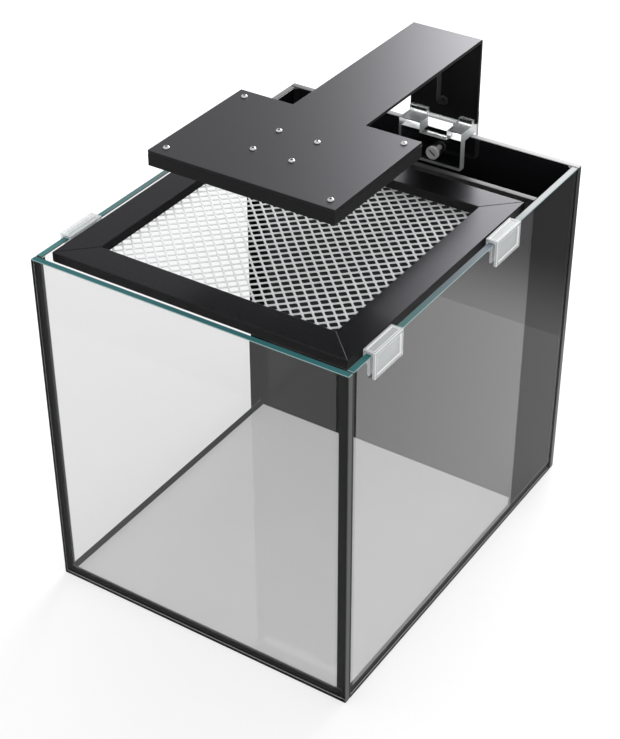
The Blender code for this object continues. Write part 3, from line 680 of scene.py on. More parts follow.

# %% [markdown]
# ## The lamp
#
# The lamp is a bent sheet of anodised aluminium that is arm, leg and lid of the housing in one. The
# light board, its heat spreader and the window sit in a shallow tray below, held by eight button-head
# screws. The tray and the plate keep a hairline gap, which shows as a fine line round the head.

# %% Plate, tray and window
# The upright faces of the plate and the tray get a painted shade.
shade_upright_faces(copy_with_edges("lamp_plate", 0.45))
shade_upright_faces(copy_with_edges("lamp_housing", 0.5))
copy_with_edges("lamp_window", 0.4)
copy_with_edges("lamp_heat_spreader", 0.3)
print("plate, tray, window and spreader")

# %% Light board with its diodes
BOARD_ROWS = 5
BOARD_COLUMNS = 7
DIODE = 5 * MM
copy_with_edges("lamp_led_board", 0.2)
board_low, board_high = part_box("lamp_led_board")
window_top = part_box("lamp_window")[1].z
diode_top = board_low.z + 0.05 * MM
diode_bottom = (board_low.z + window_top) / 2 - 0.1 * MM
first_diode = add_block("first diode", (-DIODE / 2, -DIODE / 2, diode_bottom),
                        (DIODE / 2, DIODE / 2, diode_top))
sink_panel(first_diode, lambda c, n: n.z < -0.9, 0.7 * MM, 0.12 * MM)
diodes = []
for row in range(BOARD_ROWS):
    for column in range(BOARD_COLUMNS):
        x = board_low.x + (board_high.x - board_low.x) * (column + 0.5) / BOARD_COLUMNS
        y = board_low.y + (board_high.y - board_low.y) * (row + 0.5) / BOARD_ROWS
        copy = new_object("diode", first_diode.data.copy())
        copy.data.transform(Matrix.Translation((x, y, 0)))
        diodes.append(copy)
bpy.data.objects.remove(first_diode)
select_only(*diodes)
bpy.ops.object.join()
diodes = bpy.context.active_object
diodes.name = "light_diodes"
diodes.data.name = "light_diodes"
go_along(diodes, "lamp_led_board")
print(BOARD_ROWS * BOARD_COLUMNS, "diodes,", round((diode_top - diode_bottom) / MM, 2), "mm high")

# %% [markdown]
# ### Screws
#
# A button-head screw is a low dome with a six-sided socket. One is turned on the lathe helper, and the
# socket is cut with a hexagonal tool. The eight screws are copies, each turned by its own angle, as
# hand-driven screws never line up.

# %% Button-head screws
HEAD_RADIUS = 2.75 * MM
SHANK_RADIUS = 1.4 * MM
HEAD_HEIGHT = 1.6 * MM
SOCKET_RADIUS = 1.2 * MM
SOCKET_DEPTH = 1.1 * MM
DOME = math.radians(52)
plate_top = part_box("lamp_plate")[1].z


def cut_away(item, tool, centre, angle, axis):
    """Turns a tool about an axis through a point, cuts its shape out of a piece and throws it away."""
    there = Matrix.Translation(centre)
    tool.data.transform(there @ Matrix.Rotation(angle, 4, axis) @ there.inverted())
    cut = item.modifiers.new("cut", "BOOLEAN")
    cut.operation = "DIFFERENCE"
    cut.object = tool
    apply_modifiers(item)
    bpy.data.objects.remove(tool)


def make_screw(name, centre, foot, angle):
    seat = plate_top + 0.05 * MM
    brim = seat + 0.15 * MM
    crown = plate_top + HEAD_HEIGHT
    profile = [(0, foot), (SHANK_RADIUS * 0.8, foot), (SHANK_RADIUS, foot + 0.5 * MM), (SHANK_RADIUS, seat),
               (HEAD_RADIUS - 0.1 * MM, seat), (HEAD_RADIUS, brim)]
    for step in range(1, 6):
        lift = step / 5 * DOME
        rise = math.sin(lift) / math.sin(DOME)
        profile.append((HEAD_RADIUS * math.cos(lift), brim + (crown - brim) * rise))
    profile.append((0, crown))
    screw = turned(name, "z", (centre.x, centre.y, 0), profile)
    tool = add_round("socket tool", "z", (centre.x, centre.y, 0), SOCKET_RADIUS, crown - SOCKET_DEPTH,
                     crown + 1 * MM, sides=6)
    cut_away(screw, tool, centre, angle, "Z")
    round_edges(screw, 0.06 * MM, segments=1)
    # The faces inside the socket take a dark material: painted shade.
    for face in screw.data.polygons:
        inside = (face.center - centre).xy.length < SOCKET_RADIUS
        if inside and seat < face.center.z < crown - 0.12 * MM:
            face.material_index = 1
    return screw


screw_nodes = sorted(node for node in frame["nodes"] if node.startswith(("corner_screw_", "centre_screw_")))
for count, node in enumerate(screw_nodes):
    low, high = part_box(node)
    middle = (low + high) / 2
    middle.z = 0
    stand_in(make_screw(node.replace("_screw_", "_button_screw_"), middle, low.z, count * 0.35), node)
print(len(screw_nodes), "screws")

# %% [markdown]
# ### Cable and grommet
#
# The cable runs under the arm, bends down in front of the leg and goes through a rubber grommet. The
# grommet is a small wheel with a waist that grips the edge of the hole, so it is turned as a profile.

# %% Grommet and the lamp's cable
grommet_low, grommet_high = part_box("cable_grommet")
grommet_axis = (grommet_low + grommet_high) / 2
hole_front, hole_back = 192.7 * MM, 196.3 * MM
bore = CORD_RADIUS + 0.05 * MM
rim = (grommet_high.x - grommet_low.x) / 2
grommet = turned("rubber_grommet", "y", (grommet_axis.x, 0, grommet_axis.z), [
    (bore, grommet_low.y + 0.5 * MM), (bore + 0.6 * MM, grommet_low.y), (rim - 1 * MM, grommet_low.y),
    (rim - 0.2 * MM, grommet_low.y + 0.4 * MM), (rim, hole_front - 0.5 * MM), (rim - 0.5 * MM, hole_front),
    (3.1 * MM, hole_front), (3.1 * MM, hole_back), (rim - 0.5 * MM, hole_back), (rim, hole_back + 0.6 * MM),
    (rim - 0.5 * MM, grommet_high.y - 0.2 * MM), (rim - 1.5 * MM, grommet_high.y), (bore, grommet_high.y),
    (bore, grommet_low.y + 0.5 * MM),
])
stand_in(grommet, "cable_grommet")
stand_in(lamp_cable, "lamp_cable")
print("grommet and cable on the", BODY_OF["cable_grommet"])

# %% [markdown]
# ## The bracket and its thumb screw
#
# The bracket is cut from clear acrylic sheet and cemented. Its broad faces are glassy, and its cut
# edges are flame polished; their bright lines of light are a painted highlight. The thumb screw is
# turned nylon with a milled rim for the fingers and a slot across its head.

# %% Bracket
bracket = copy_with_edges("lamp_bracket", 0.4)
# The cut edges take a pale finish: a painted highlight.
for face in bracket.data.polygons:
    sideways = abs(face.normal.x) > 0.9
    downwards = face.normal.z < -0.9
    if sideways or downwards:
        face.material_index = 1
print("bracket with", sum(face.material_index for face in bracket.data.polygons), "cut edges")

# %% Thumb screw
RIM_TEETH = 24
TOOTH = 0.3 * MM
THREAD_PITCH = 0.9 * MM
THREAD_ROOT = 2.1 * MM
THREAD_CREST = 2.45 * MM
SLOT_TURN = math.radians(38)
screw_low, screw_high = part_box("thumb_screw")
screw_axis = (screw_low + screw_high) / 2
screw_axis.y = 0
head_radius = (screw_high.x - screw_low.x) / 2
head_back = 168.6 * MM
thumb = add_round("nylon_thumb_screw", "y", screw_axis, head_radius - TOOTH, screw_low.y, head_back,
                  sides=2 * RIM_TEETH)


def on_rim(centre, normal):
    angle = math.atan2(normal.z, normal.x) / (2 * math.pi) * 2 * RIM_TEETH
    return abs(normal.y) < 0.5 and round(angle - 0.5) % 2 == 0


pick_faces(thumb, on_rim)
bpy.ops.mesh.extrude_region_shrink_fatten(TRANSFORM_OT_shrink_fatten={"value": TOOTH})
close_edit()
sink_panel(thumb, lambda c, n: n.y < -0.9 and abs(c.y - screw_low.y) < 0.05 * MM and
           (c - screw_axis).xz.length < 1 * MM, 1.4 * MM, 0.5 * MM)
slot_tool = add_block("slot tool", (screw_axis.x - 3.6 * MM, screw_low.y - 1 * MM, screw_axis.z - 0.7 * MM),
                      (screw_axis.x + 3.6 * MM, screw_low.y + 2.2 * MM, screw_axis.z + 0.8 * MM))
cut_away(thumb, slot_tool, screw_axis, SLOT_TURN, "Y")
round_edges(thumb, 0.12 * MM, segments=2)
# The faces inside the slot take a darker material: painted shade.
for face in thumb.data.polygons:
    in_slot = screw_low.y + 0.7 * MM < face.center.y < head_back - 0.3 * MM
    if in_slot and (face.center - screw_axis).xz.length < 3.8 * MM:
        face.material_index = 1
shank_profile = [(0, head_back), (THREAD_ROOT, head_back)]
height = head_back
while height < screw_high.y - THREAD_PITCH:
    shank_profile += [(THREAD_ROOT, height + 0.15 * MM), (THREAD_CREST, height + THREAD_PITCH / 2)]
    height += THREAD_PITCH
shank_profile += [(THREAD_ROOT, screw_high.y - 0.3 * MM), (1.7 * MM, screw_high.y), (0, screw_high.y)]
shank = turned("thumb_screw_thread", "y", screw_axis, shank_profile, sides=20)
stand_in(thumb, "thumb_screw")
go_along(shank, "thumb_screw")
copy_with_edges("thumb_screw_pad", 0.4)
print("thumb screw and pad")

# %% [markdown]
# ## The lead's far end
#
# The wound lead is held by a hook-and-loop strap and ends in a barrel plug: a rubber body that tapers
# into the strain relief, and a nickel-plated barrel. The frame's plug shows the size of each step, so
# the profile follows it and adds what a mould gives it: a soft shoulder and grip rings.

# %% Barrel plug
plug_low, plug_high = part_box("lead_plug")
plug_axis = (0, (plug_low.y + plug_high.y) / 2, (plug_low.z + plug_high.z) / 2)
body_radius = (plug_high.z - plug_low.z) / 2
relief_end = plug_high.x - 12 * MM
body_end = plug_high.x - 34 * MM
grip = [(CORD_RADIUS + 0.1 * MM, plug_high.x)]
for ring in range(5):
    start = plug_high.x - (1 + 2.1 * ring) * MM
    swell = 2.7 * MM + 0.14 * MM * ring
    grip += [(swell, start), (swell, start - 1.1 * MM), (swell - 0.5 * MM, start - 1.3 * MM),
             (swell - 0.5 * MM, start - 1.9 * MM)]
grip += [(3.3 * MM, relief_end), (body_radius - 0.8 * MM, relief_end - 0.6 * MM),
         (body_radius - 0.2 * MM, relief_end - 1.2 * MM), (body_radius, relief_end - 2.2 * MM)]
for ring in range(6):
    start = relief_end - (5 + 2 * ring) * MM
    grip += [(body_radius, start), (body_radius - 0.35 * MM, start - 0.3 * MM),
             (body_radius - 0.35 * MM, start - 0.8 * MM), (body_radius, start - 1.1 * MM)]
grip += [(body_radius, body_end + 1 * MM), (body_radius - 0.7 * MM, body_end), (0, body_end)]
plug = turned("lead_barrel_plug", "x", plug_axis, [(0, plug_high.x)] + grip)
plug_tip = turned("plug_barrel", "x", plug_axis, [
    (0, body_end + 0.3 * MM), (2.7 * MM, body_end + 0.3 * MM), (2.75 * MM, plug_low.x + 0.5 * MM),
    (2.4 * MM, plug_low.x), (1.4 * MM, plug_low.x), (1.25 * MM, plug_low.x + 0.3 * MM),
    (1.25 * MM, plug_low.x + 7 * MM), (0, plug_low.x + 7 * MM),
])
stand_in(plug, "lead_plug")
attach(plug_tip, "root")
made[plug_tip.name] = "steel"
print("plug", round((plug_high.x - plug_low.x) / MM, 1), "mm long")

# %% Strap round the winding
STRAP_WIDTH = 11 * MM
STRAP_THICKNESS = 0.8 * MM
strap_in = OUTER_TURN - 3.5 * TURN_PITCH - CORD_RADIUS - STRAP_THICKNESS
strap_out = OUTER_TURN + CORD_RADIUS + STRAP_THICKNESS
strap_top = HIGH_LAYER + CORD_RADIUS + STRAP_THICKNESS
strap = add_block("coil_strap", (COIL_CENTRE.x - STRAP_WIDTH / 2, COIL_CENTRE.y + strap_in, 0.05 * MM),
                  (COIL_CENTRE.x + STRAP_WIDTH / 2, COIL_CENTRE.y + strap_out, strap_top))
pick_faces(strap, lambda c, n: abs(n.x) > 0.9)
bpy.ops.mesh.inset(thickness=STRAP_THICKNESS, use_individual=True)
bpy.ops.mesh.bridge_edge_loops()
close_edit()
soften = strap.modifiers.new("soft corners", "BEVEL")
soften.width = 1.4 * MM
soften.segments = 4
soften.limit_method = "ANGLE"
soften.angle_limit = math.radians(60)
apply_modifiers(strap)
tab_half = STRAP_WIDTH / 2 - 0.4 * MM
tab_end = COIL_CENTRE.y + strap_out - 3 * MM
strap_tab = add_block("strap_tab", (COIL_CENTRE.x - tab_half, tab_end - 10 * MM, strap_top),
                      (COIL_CENTRE.x + tab_half, tab_end, strap_top + 0.9 * STRAP_THICKNESS))
round_edges(strap_tab, 0.35 * MM)
select_only(strap)
bpy.ops.object.shade_smooth_by_angle(angle=ROUND_ANGLE)
for item in (strap, strap_tab):
    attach(item, "root")
    made[item.name] = "black_rubber"
print("strap", [round(value / MM, 1) for value in strap.dimensions])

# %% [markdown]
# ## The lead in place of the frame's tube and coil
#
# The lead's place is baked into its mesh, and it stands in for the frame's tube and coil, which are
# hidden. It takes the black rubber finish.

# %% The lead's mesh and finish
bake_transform(lead)
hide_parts("lead_tube", "lead_coil")
made[lead.name] = "black_rubber"

# %% [markdown]
# ## Effects shared by several finishes
#
# Three effects come back on many materials, so each is a node group with named inputs. "Fine grain"
# is the small texture of a surface. "Arris" reads the attribute that the rounding helper wrote and
# breaks it up, so that edges look handled; the lighter edge that it gives is partly wear and partly a
# painted highlight. "Settled dust" gathers on what faces up, in faint patches.

# %% Node helpers
def add_node(tree, kind, links=None, **settings):
    """Adds a node, sets its properties, and fills its inputs with numbers or links."""
    node = tree.nodes.new(kind)
    for name, value in settings.items():
        setattr(node, name, value)
    for name, value in (links or {}).items():
        if isinstance(value, bpy.types.NodeSocket):
            tree.links.new(value, node.inputs[name])
        else:
            node.inputs[name].default_value = value
    return node


def calculate(tree, operation, *values, clamp=False):
    """The result of a Math node on numbers or links."""
    inputs = dict(enumerate(values))
    return add_node(tree, "ShaderNodeMath", inputs, operation=operation, use_clamp=clamp).outputs[0]


def spread_range(tree, value, old, new, **settings):
    """Maps a value from one range, a pair, to another."""
    inputs = {"Value": value, "From Min": old[0], "From Max": old[1], "To Min": new[0], "To Max": new[1]}
    return add_node(tree, "ShaderNodeMapRange", inputs, **settings).outputs[0]


def object_place(tree):
    return add_node(tree, "ShaderNodeTexCoord").outputs["Object"]


def object_axes(tree):
    """The place of a point on the tank as three separate numbers."""
    return add_node(tree, "ShaderNodeSeparateXYZ", {0: object_place(tree)}).outputs


def mix_colours(tree, factor, first, second, blend="MIX"):
    inputs = {"Factor": factor, "A": first, "B": second}
    return add_node(tree, "ShaderNodeMix", inputs, data_type="RGBA", blend_type=blend).outputs["Result"]


def new_group(name, inputs, output):
    """A node group with number inputs and their defaults, and one number output."""
    group = bpy.data.node_groups.new(name, "ShaderNodeTree")
    for label, default in inputs.items():
        socket = group.interface.new_socket(label, in_out="INPUT", socket_type="NodeSocketFloat")
        socket.default_value = default
    group.interface.new_socket(output, in_out="OUTPUT", socket_type="NodeSocketFloat")
    enter, leave = group.nodes.new("NodeGroupInput"), group.nodes.new("NodeGroupOutput")
    return group, enter.outputs, leave.inputs[output]


def place_group(tree, group, **values):
    """Places a node group with its own values, and gives its result."""
    return add_node(tree, "ShaderNodeGroup", values, node_tree=group).outputs[0]


print("node helpers are ready")

# %% Fine grain
grain_group, given, result = new_group("fine grain", {"Scale": 900, "Stretch": 1, "Contrast": 1}, "Value")
axes = object_axes(grain_group)
drawn_out = calculate(grain_group, "DIVIDE", axes["Y"], given["Stretch"])
together = add_node(grain_group, "ShaderNodeCombineXYZ", {"X": axes["X"], "Y": drawn_out, "Z": axes["Z"]})
speckle = add_node(grain_group, "ShaderNodeTexNoise", {
    "Vector": together.outputs[0], "Scale": given["Scale"], "Detail": 3, "Roughness": 0.6})
centred = calculate(grain_group, "SUBTRACT", speckle.outputs["Fac"], 0.5)
grain_group.links.new(calculate(grain_group, "MULTIPLY_ADD", centred, given["Contrast"], 0.5), result)
print("group:", grain_group.name)

# %% Arris
# The arris mask lightens rounded edges: partly wear, partly a painted highlight along the edge.
arris_group, given, result = new_group("arris", {"Amount": 1, "Patchiness": 0.5}, "Mask")
edge_mark = add_node(arris_group, "ShaderNodeAttribute", attribute_name="edge").outputs["Fac"]
patches = add_node(arris_group, "ShaderNodeTexNoise", {
    "Vector": object_place(arris_group), "Scale": 60, "Detail": 4}).outputs["Fac"]
thinned = calculate(arris_group, "MULTIPLY", patches, given["Patchiness"])
kept = calculate(arris_group, "SUBTRACT", 1, thinned, clamp=True)
scaled = calculate(arris_group, "MULTIPLY", kept, given["Amount"])
arris_group.links.new(calculate(arris_group, "MULTIPLY", scaled, edge_mark, clamp=True), result)
print("group:", arris_group.name)

# %% Settled dust
dust_group, given, result = new_group("settled dust", {"Amount": 0.1}, "Mask")
facing = add_node(dust_group, "ShaderNodeNewGeometry").outputs["Normal"]
upright = add_node(dust_group, "ShaderNodeSeparateXYZ", {0: facing}).outputs["Z"]
place = object_place(dust_group)
clouds = add_node(dust_group, "ShaderNodeTexNoise", {"Vector": place, "Scale": 14, "Detail": 5})
specks = add_node(dust_group, "ShaderNodeTexNoise", {"Vector": place, "Scale": 1400, "Detail": 1})
cloudy = spread_range(dust_group, clouds.outputs["Fac"], (0.35, 0.75), (0.25, 1))
specked = spread_range(dust_group, specks.outputs["Fac"], (0.62, 0.74), (0.2, 1))
upwards = spread_range(dust_group, upright, (0.2, 0.9), (0.12, 1))
both = calculate(dust_group, "MULTIPLY", cloudy, specked)
settled = calculate(dust_group, "MULTIPLY", both, upwards)
dust_group.links.new(calculate(dust_group, "MULTIPLY", settled, given["Amount"], clamp=True), result)
print("group:", dust_group.name)

# %% [markdown]
# ## A finish from its facts
#
# Most finishes are one Principled shader with the same plumbing: a base colour that varies a little
# with the grain, an arris that is lighter or darker, partly wear and partly a painted highlight, some
# dust, and a roughness and bump from the same grain. One helper builds that from a few facts, and each
# finish then adds what is its own.

# %% Building a finish
DUST_COLOUR = (0.42, 0.41, 0.39, 1)
DUST_ROUGHNESS = 0.6
ROUGHNESS_SPREAD = 0.15
# How much lighter an arris is than its face: partly wear, partly a painted highlight.
ARRIS_LIGHTER = 1.8


def shade(colour, factor):
    return (*(min(1, channel * factor) for channel in colour[:3]), 1)


def shader_of(material):
    return material.node_tree.nodes["Principled BSDF"]


def make_finish(name, colour, roughness, metallic=0.0, grain=900, stretch=1, variety=0.12, bump=0.1,
                bump_depth=0.03, arris=0.5, arris_colour=None, dust=0.03, gloss=0.5):
    """A Principled finish whose colour, roughness and bump all come from its own grain."""
    material = bpy.data.materials.new(name)
    material.use_nodes = True
    tree = material.node_tree
    shader = shader_of(material)
    shader.inputs["Metallic"].default_value = metallic
    shader.inputs["Specular IOR Level"].default_value = gloss
    fine = place_group(tree, grain_group, Scale=grain, Stretch=stretch)
    worn_edge_and_highlight = place_group(tree, arris_group, Amount=arris)
    film = place_group(tree, dust_group, Amount=dust)
    tone = mix_colours(tree, fine, shade(colour, 1 - variety), shade(colour, 1 + variety))
    edge_colour = (*arris_colour, 1) if arris_colour else shade(colour, ARRIS_LIGHTER)
    dusted = mix_colours(tree, film, mix_colours(tree, worn_edge_and_highlight, tone, edge_colour), DUST_COLOUR)
    tree.links.new(dusted, shader.inputs["Base Color"])
    smooth, rough = roughness * (1 - ROUGHNESS_SPREAD), min(1, roughness * (1 + ROUGHNESS_SPREAD))
    clean = spread_range(tree, fine, (0, 1), (smooth, rough))
    tree.links.new(calculate(tree, "MULTIPLY_ADD", film, DUST_ROUGHNESS, clean, clamp=True),
                   shader.inputs["Roughness"])
    if bump:
        depth = bump_depth * MM
        relief = add_node(tree, "ShaderNodeBump", {"Height": fine, "Strength": bump, "Distance": depth})
        tree.links.new(relief.outputs["Normal"], shader.inputs["Normal"])
    return material


print("finish helper is ready")

# %% [markdown]
# ## Glass and clear plastic
#
# A pane of 6 mm shifts what is behind it by some millimetres, which is seen along the seams, so what
# the eye sees through a pane is really bent. Light that only lights other things, in shadows and in
# diffuse bounces, goes straight through with a faint tint instead, because bent light would stay noisy.
# On top lies a mirror whose strength follows Fresnel's law. The outer side of a face pays for both
# sides at once, and the far side lets the light out untouched. The bottom pane lies over the sweep's
# shade and shows the walls, so it has a glass of its own: a little darker, which paints in the shade
# under the tank, and a better mirror.

# %% How much of a pane mirrors
FREE_SIDE = 1.38
FREE_LEFT = 0.45
FREE_FLOOR = 1.6
FREE_FRONT = 0.95
ON_FILM = 0.55
ON_SILICONE = 0.12
SEAM_TOP = 12 * MM
SEAM_REACH_X = 141.5 * MM
SEAM_REACH_Y = 182 * MM
FRONT_FACE = -186 * MM
FILM_FROM = 101 * MM


def is_above(tree, socket, limit):
    return calculate(tree, "GREATER_THAN", socket, limit)


def choose(tree, test, otherwise, when_true):
    inputs = {"Factor": test, "A": otherwise, "B": when_true}
    return add_node(tree, "ShaderNodeMix", inputs, data_type="FLOAT").outputs["Result"]


def mirror_share(tree):
    """How much of Fresnel's share each part of a pane mirrors.

    Both sides of a free pane mirror, but where silicone or film wets the inner side, only one does. The
    left pane is kept quiet, so that the divider's reflection doesn't cut it in two.
    """
    axes = object_axes(tree)
    across = calculate(tree, "ABSOLUTE", axes["X"])
    deep = calculate(tree, "ABSOLUTE", axes["Y"])
    left_or_right = choose(tree, is_above(tree, axes["X"], 0), FREE_LEFT, FREE_SIDE)
    side_or_front = choose(tree, is_above(tree, axes["Y"], FRONT_FACE), FREE_FRONT, left_or_right)
    with_film = choose(tree, is_above(tree, axes["Y"], FILM_FROM), side_or_front, ON_FILM)
    corner = calculate(tree, "MULTIPLY", is_above(tree, across, SEAM_REACH_X),
                       is_above(tree, deep, SEAM_REACH_Y))
    with_corner = choose(tree, corner, with_film, ON_SILICONE)
    return choose(tree, is_above(tree, axes["Z"], SEAM_TOP), ON_SILICONE, with_corner)


print("a free side pane mirrors", FREE_SIDE, "times Fresnel's share")

# %% Clear glass
GLASS_INDEX = 1.52
SMEAR_SCALE = 9


def make_clear(name, tint, roughness, mirrors=None):
    """Glass that bends what is seen through it, with a Fresnel mirror on its outer side."""
    material = bpy.data.materials.new(name)
    material.use_nodes = True
    tree = material.node_tree
    tree.nodes.remove(shader_of(material))
    straight = add_node(tree, "ShaderNodeBsdfTransparent", {"Color": (tint, tint, tint, 1)})
    bent = add_node(tree, "ShaderNodeBsdfRefraction", {
        "Color": (tint, tint, tint, 1), "Roughness": 0.0, "IOR": GLASS_INDEX})
    ray = add_node(tree, "ShaderNodeLightPath").outputs
    unseen = calculate(tree, "MAXIMUM", ray["Is Shadow Ray"], ray["Is Diffuse Ray"])
    through = add_node(tree, "ShaderNodeMixShader", {0: unseen, 1: bent.outputs[0], 2: straight.outputs[0]})
    mirror = add_node(tree, "ShaderNodeBsdfGlossy", {"Color": (1, 1, 1, 1)})
    fine = place_group(tree, grain_group, Scale=SMEAR_SCALE)
    smear = spread_range(tree, fine, (0.35, 0.7), (roughness, roughness * 3))
    tree.links.new(smear, mirror.inputs["Roughness"])
    fresnel = add_node(tree, "ShaderNodeFresnel", {"IOR": GLASS_INDEX}).outputs[0]
    both_sides = calculate(tree, "MULTIPLY", fresnel, mirrors or mirror_share(tree), clamp=True)
    backfacing = add_node(tree, "ShaderNodeNewGeometry").outputs["Backfacing"]
    share = calculate(tree, "MULTIPLY", both_sides, calculate(tree, "SUBTRACT", 1, backfacing))
    mix = add_node(tree, "ShaderNodeMixShader", {0: share, 1: through.outputs[0], 2: mirror.outputs[0]})
    tree.links.new(mix.outputs[0], tree.nodes["Material Output"].inputs["Surface"])
    return material


clear_glass = make_clear("clear glass face", 0.912, 0.012)
# The floor glass's darker tint is painted shade under the tank.
floor_glass = make_clear("clear glass floor", 0.865, 0.02, FREE_FLOOR)
print("materials:", clear_glass.name, floor_glass.name)

# %% Rim of a pane
HALF_DEPTH = 190 * MM


def make_rim(name, axis, stops):
    """The narrow sides of a pane: its colour changes along one axis of the tank, as painted light and
    reflection.
    """
    material = make_finish(name, stops[0][1], 0.5, grain=300, bump=0.15, arris=0, gloss=0.2)
    tree = material.node_tree
    along = spread_range(tree, object_axes(tree)[axis], (-HALF_DEPTH, HALF_DEPTH), (0, 1))
    ramp = add_node(tree, "ShaderNodeValToRGB", {0: along})
    for place_on_ramp, colour in stops:
        if place_on_ramp in (0.0, 1.0):
            stop = ramp.color_ramp.elements[0 if place_on_ramp == 0.0 else -1]
        else:
            stop = ramp.color_ramp.elements.new(place_on_ramp)
        stop.color = (*colour, 1)
    tree.links.new(ramp.outputs[0], shader_of(material).inputs["Base Color"])
    return material


def make_edge(name, colour, grain, **facts):
    """A plain finish for the narrow faces of a pane, which have no arris of their own."""
    return make_finish(name, colour, 0.3, grain=grain, arris=0, **facts)


# The open rim goes from green at the front to pale grey at the back: a painted reflection.
glass_rim = make_rim("ground glass rim", "Y", [
    (0.0, (0.015, 0.13, 0.14)), (0.2, (0.035, 0.14, 0.13)), (0.4, (0.09, 0.125, 0.145)),
    (0.62, (0.18, 0.21, 0.24)), (0.76, (0.5, 0.51, 0.52)), (1.0, (0.52, 0.53, 0.53))])
# The left pane's rim is a darker copy: painted shade.
shaded_rim = make_rim("ground glass rim in shade", "Y", [
    (0.0, (0.05, 0.2, 0.2)), (0.5, (0.1, 0.16, 0.17)), (1.0, (0.2, 0.2, 0.2))])
# The back pane's rim goes from dark at the left to pale grey at the right: painted light.
back_rim = make_rim("ground rim of the back pane", "X", [
    (0.0, (0.12, 0.12, 0.12)), (0.55, (0.4, 0.4, 0.4)), (0.8, (0.6, 0.6, 0.6)), (1.0, (0.6, 0.6, 0.6))])
glass_arris = make_edge("glass arris", (0.3, 0.43, 0.43), 700, variety=0.15, bump=0.3)
dark_rim = make_edge("rim on silicone", (0.012, 0.012, 0.013), 300, variety=0.2, bump=0.15, dust=0.0)
# This dark arris is also the left pane's open arris, where it is painted shade.
dark_arris = make_edge("dark arris on silicone and in painted shade", (0.035, 0.04, 0.04), 700, variety=0.2, bump=0.3, dust=0.0)
print("materials:", glass_rim.name, glass_arris.name, dark_rim.name, dark_arris.name)

# %% [markdown]
# ## The other finishes
#
# Anodised aluminium is a metal under a thin dyed skin, so it is metallic with a dark violet-grey
# colour, and its arrises are paler, partly from worn dye and partly as a painted highlight. Black glass
# and acrylic are glossy and show dust first. The clips and the netting are translucent plastics: part
# of the light goes through them.

# %% Black and metal finishes
# The lighter arris colours here are partly wear and partly a painted highlight along the edge.
finishes = {
    "black_glass": make_finish("black glass", (0.012, 0.012, 0.014), 0.05, grain=20, variety=0.3, bump=0,
                               arris_colour=(0.1, 0.11, 0.11), dust=0.035),
    "silicone": make_finish("black silicone", (0.014, 0.014, 0.015), 0.34, grain=120, variety=0.3, bump=0.25,
                            bump_depth=0.2, arris=0.2, dust=0.0, gloss=0.12),
    "black_film": make_finish("black film", (0.006, 0.006, 0.006), 0.6, grain=40, variety=0.4, bump=0,
                              arris=0, dust=0.0, gloss=0.0),
    "black_acrylic": make_finish("black acrylic", (0.01, 0.01, 0.011), 0.12, grain=30, variety=0.3, bump=0,
                                 arris=0.85, arris_colour=(0.2, 0.2, 0.2), dust=0.0, gloss=0.12),
    "black_plastic": make_finish("black plastic", (0.022, 0.022, 0.024), 0.4, grain=1200, variety=0.25,
                                 bump=0.4, arris=0.25, dust=0.06),
    "black_rubber": make_finish("black rubber", (0.018, 0.018, 0.019), 0.48, grain=700, variety=0.3,
                                bump=0.35, arris=0.2, dust=0.08),
    "anodised": make_finish("black anodised aluminium", (0.046, 0.045, 0.051), 0.34, metallic=1.0,
                            grain=1500, variety=0.1, bump=0.12, arris=0.35, arris_colour=(0.12, 0.12, 0.13),
                            dust=0.01),
    "bare_aluminium": make_finish("bare aluminium", (0.68, 0.69, 0.7), 0.34, metallic=1.0, stretch=30,
                                  variety=0.1, bump=0.2, arris=0.3),
    "steel": make_finish("stainless steel", (0.7, 0.7, 0.71), 0.2, metallic=1.0, grain=1800, bump=0.15,
                         arris_colour=(0.85, 0.85, 0.86), dust=0.0),
    "white_nylon": make_finish("white nylon", (0.78, 0.78, 0.76), 0.42, grain=500, variety=0.06, bump=0.25,
                               arris=0.2, dust=0.02),
    "circuit_board": make_finish("white circuit board", (0.78, 0.78, 0.76), 0.4, grain=400, variety=0.05,
                                 arris=0.6, arris_colour=(0.45, 0.42, 0.2), dust=0.0),
}
rail_anodised = make_finish("black anodised rail", (0.019, 0.0185, 0.022), 0.27, metallic=1.0, grain=1500,
                            variety=0.1, arris=0.35, arris_colour=(0.06, 0.06, 0.065), dust=0.008)
# Upright faces of the anodised parts: a painted shade, dark and dull.
anodised_sides_in_painted_shade = make_finish("anodised sides in painted shade", (0.007, 0.007, 0.0075), 0.45, grain=1500, variety=0.1,
                            arris_colour=(0.035, 0.035, 0.038), dust=0.01, gloss=0.12)
sawn_acrylic = make_finish("sawn edge of black acrylic", (0.025, 0.025, 0.026), 0.42, grain=600, stretch=0.2,
                           variety=0.3, bump=0.3, arris=0.3, dust=0.02)
socket_shade = make_finish("shaded socket", (0.03, 0.03, 0.032), 0.5, metallic=1.0, variety=0.2, bump=0,
                           arris=0, dust=0.0)
slot_shade = make_finish("shaded slot", (0.1, 0.1, 0.098), 0.6, grain=500, variety=0.1, bump=0, arris=0,
                         dust=0.0)
print(len(finishes), "finishes")

# %% Translucent plastics
def let_through(material, share, tint, edges=None):
    """Mixes a finish with straight transparency. Rounded edges may let less through than broad faces."""
    tree = material.node_tree
    through = add_node(tree, "ShaderNodeBsdfTransparent", {"Color": (*tint, 1)})
    if edges is not None:
        mark = add_node(tree, "ShaderNodeAttribute", attribute_name="edge")
        share = choose(tree, mark.outputs["Fac"], share, edges)
    mix = add_node(tree, "ShaderNodeMixShader", {
        0: share, 1: shader_of(material).outputs[0], 2: through.outputs[0]})
    tree.links.new(mix.outputs[0], tree.nodes["Material Output"].inputs["Surface"])
    return material


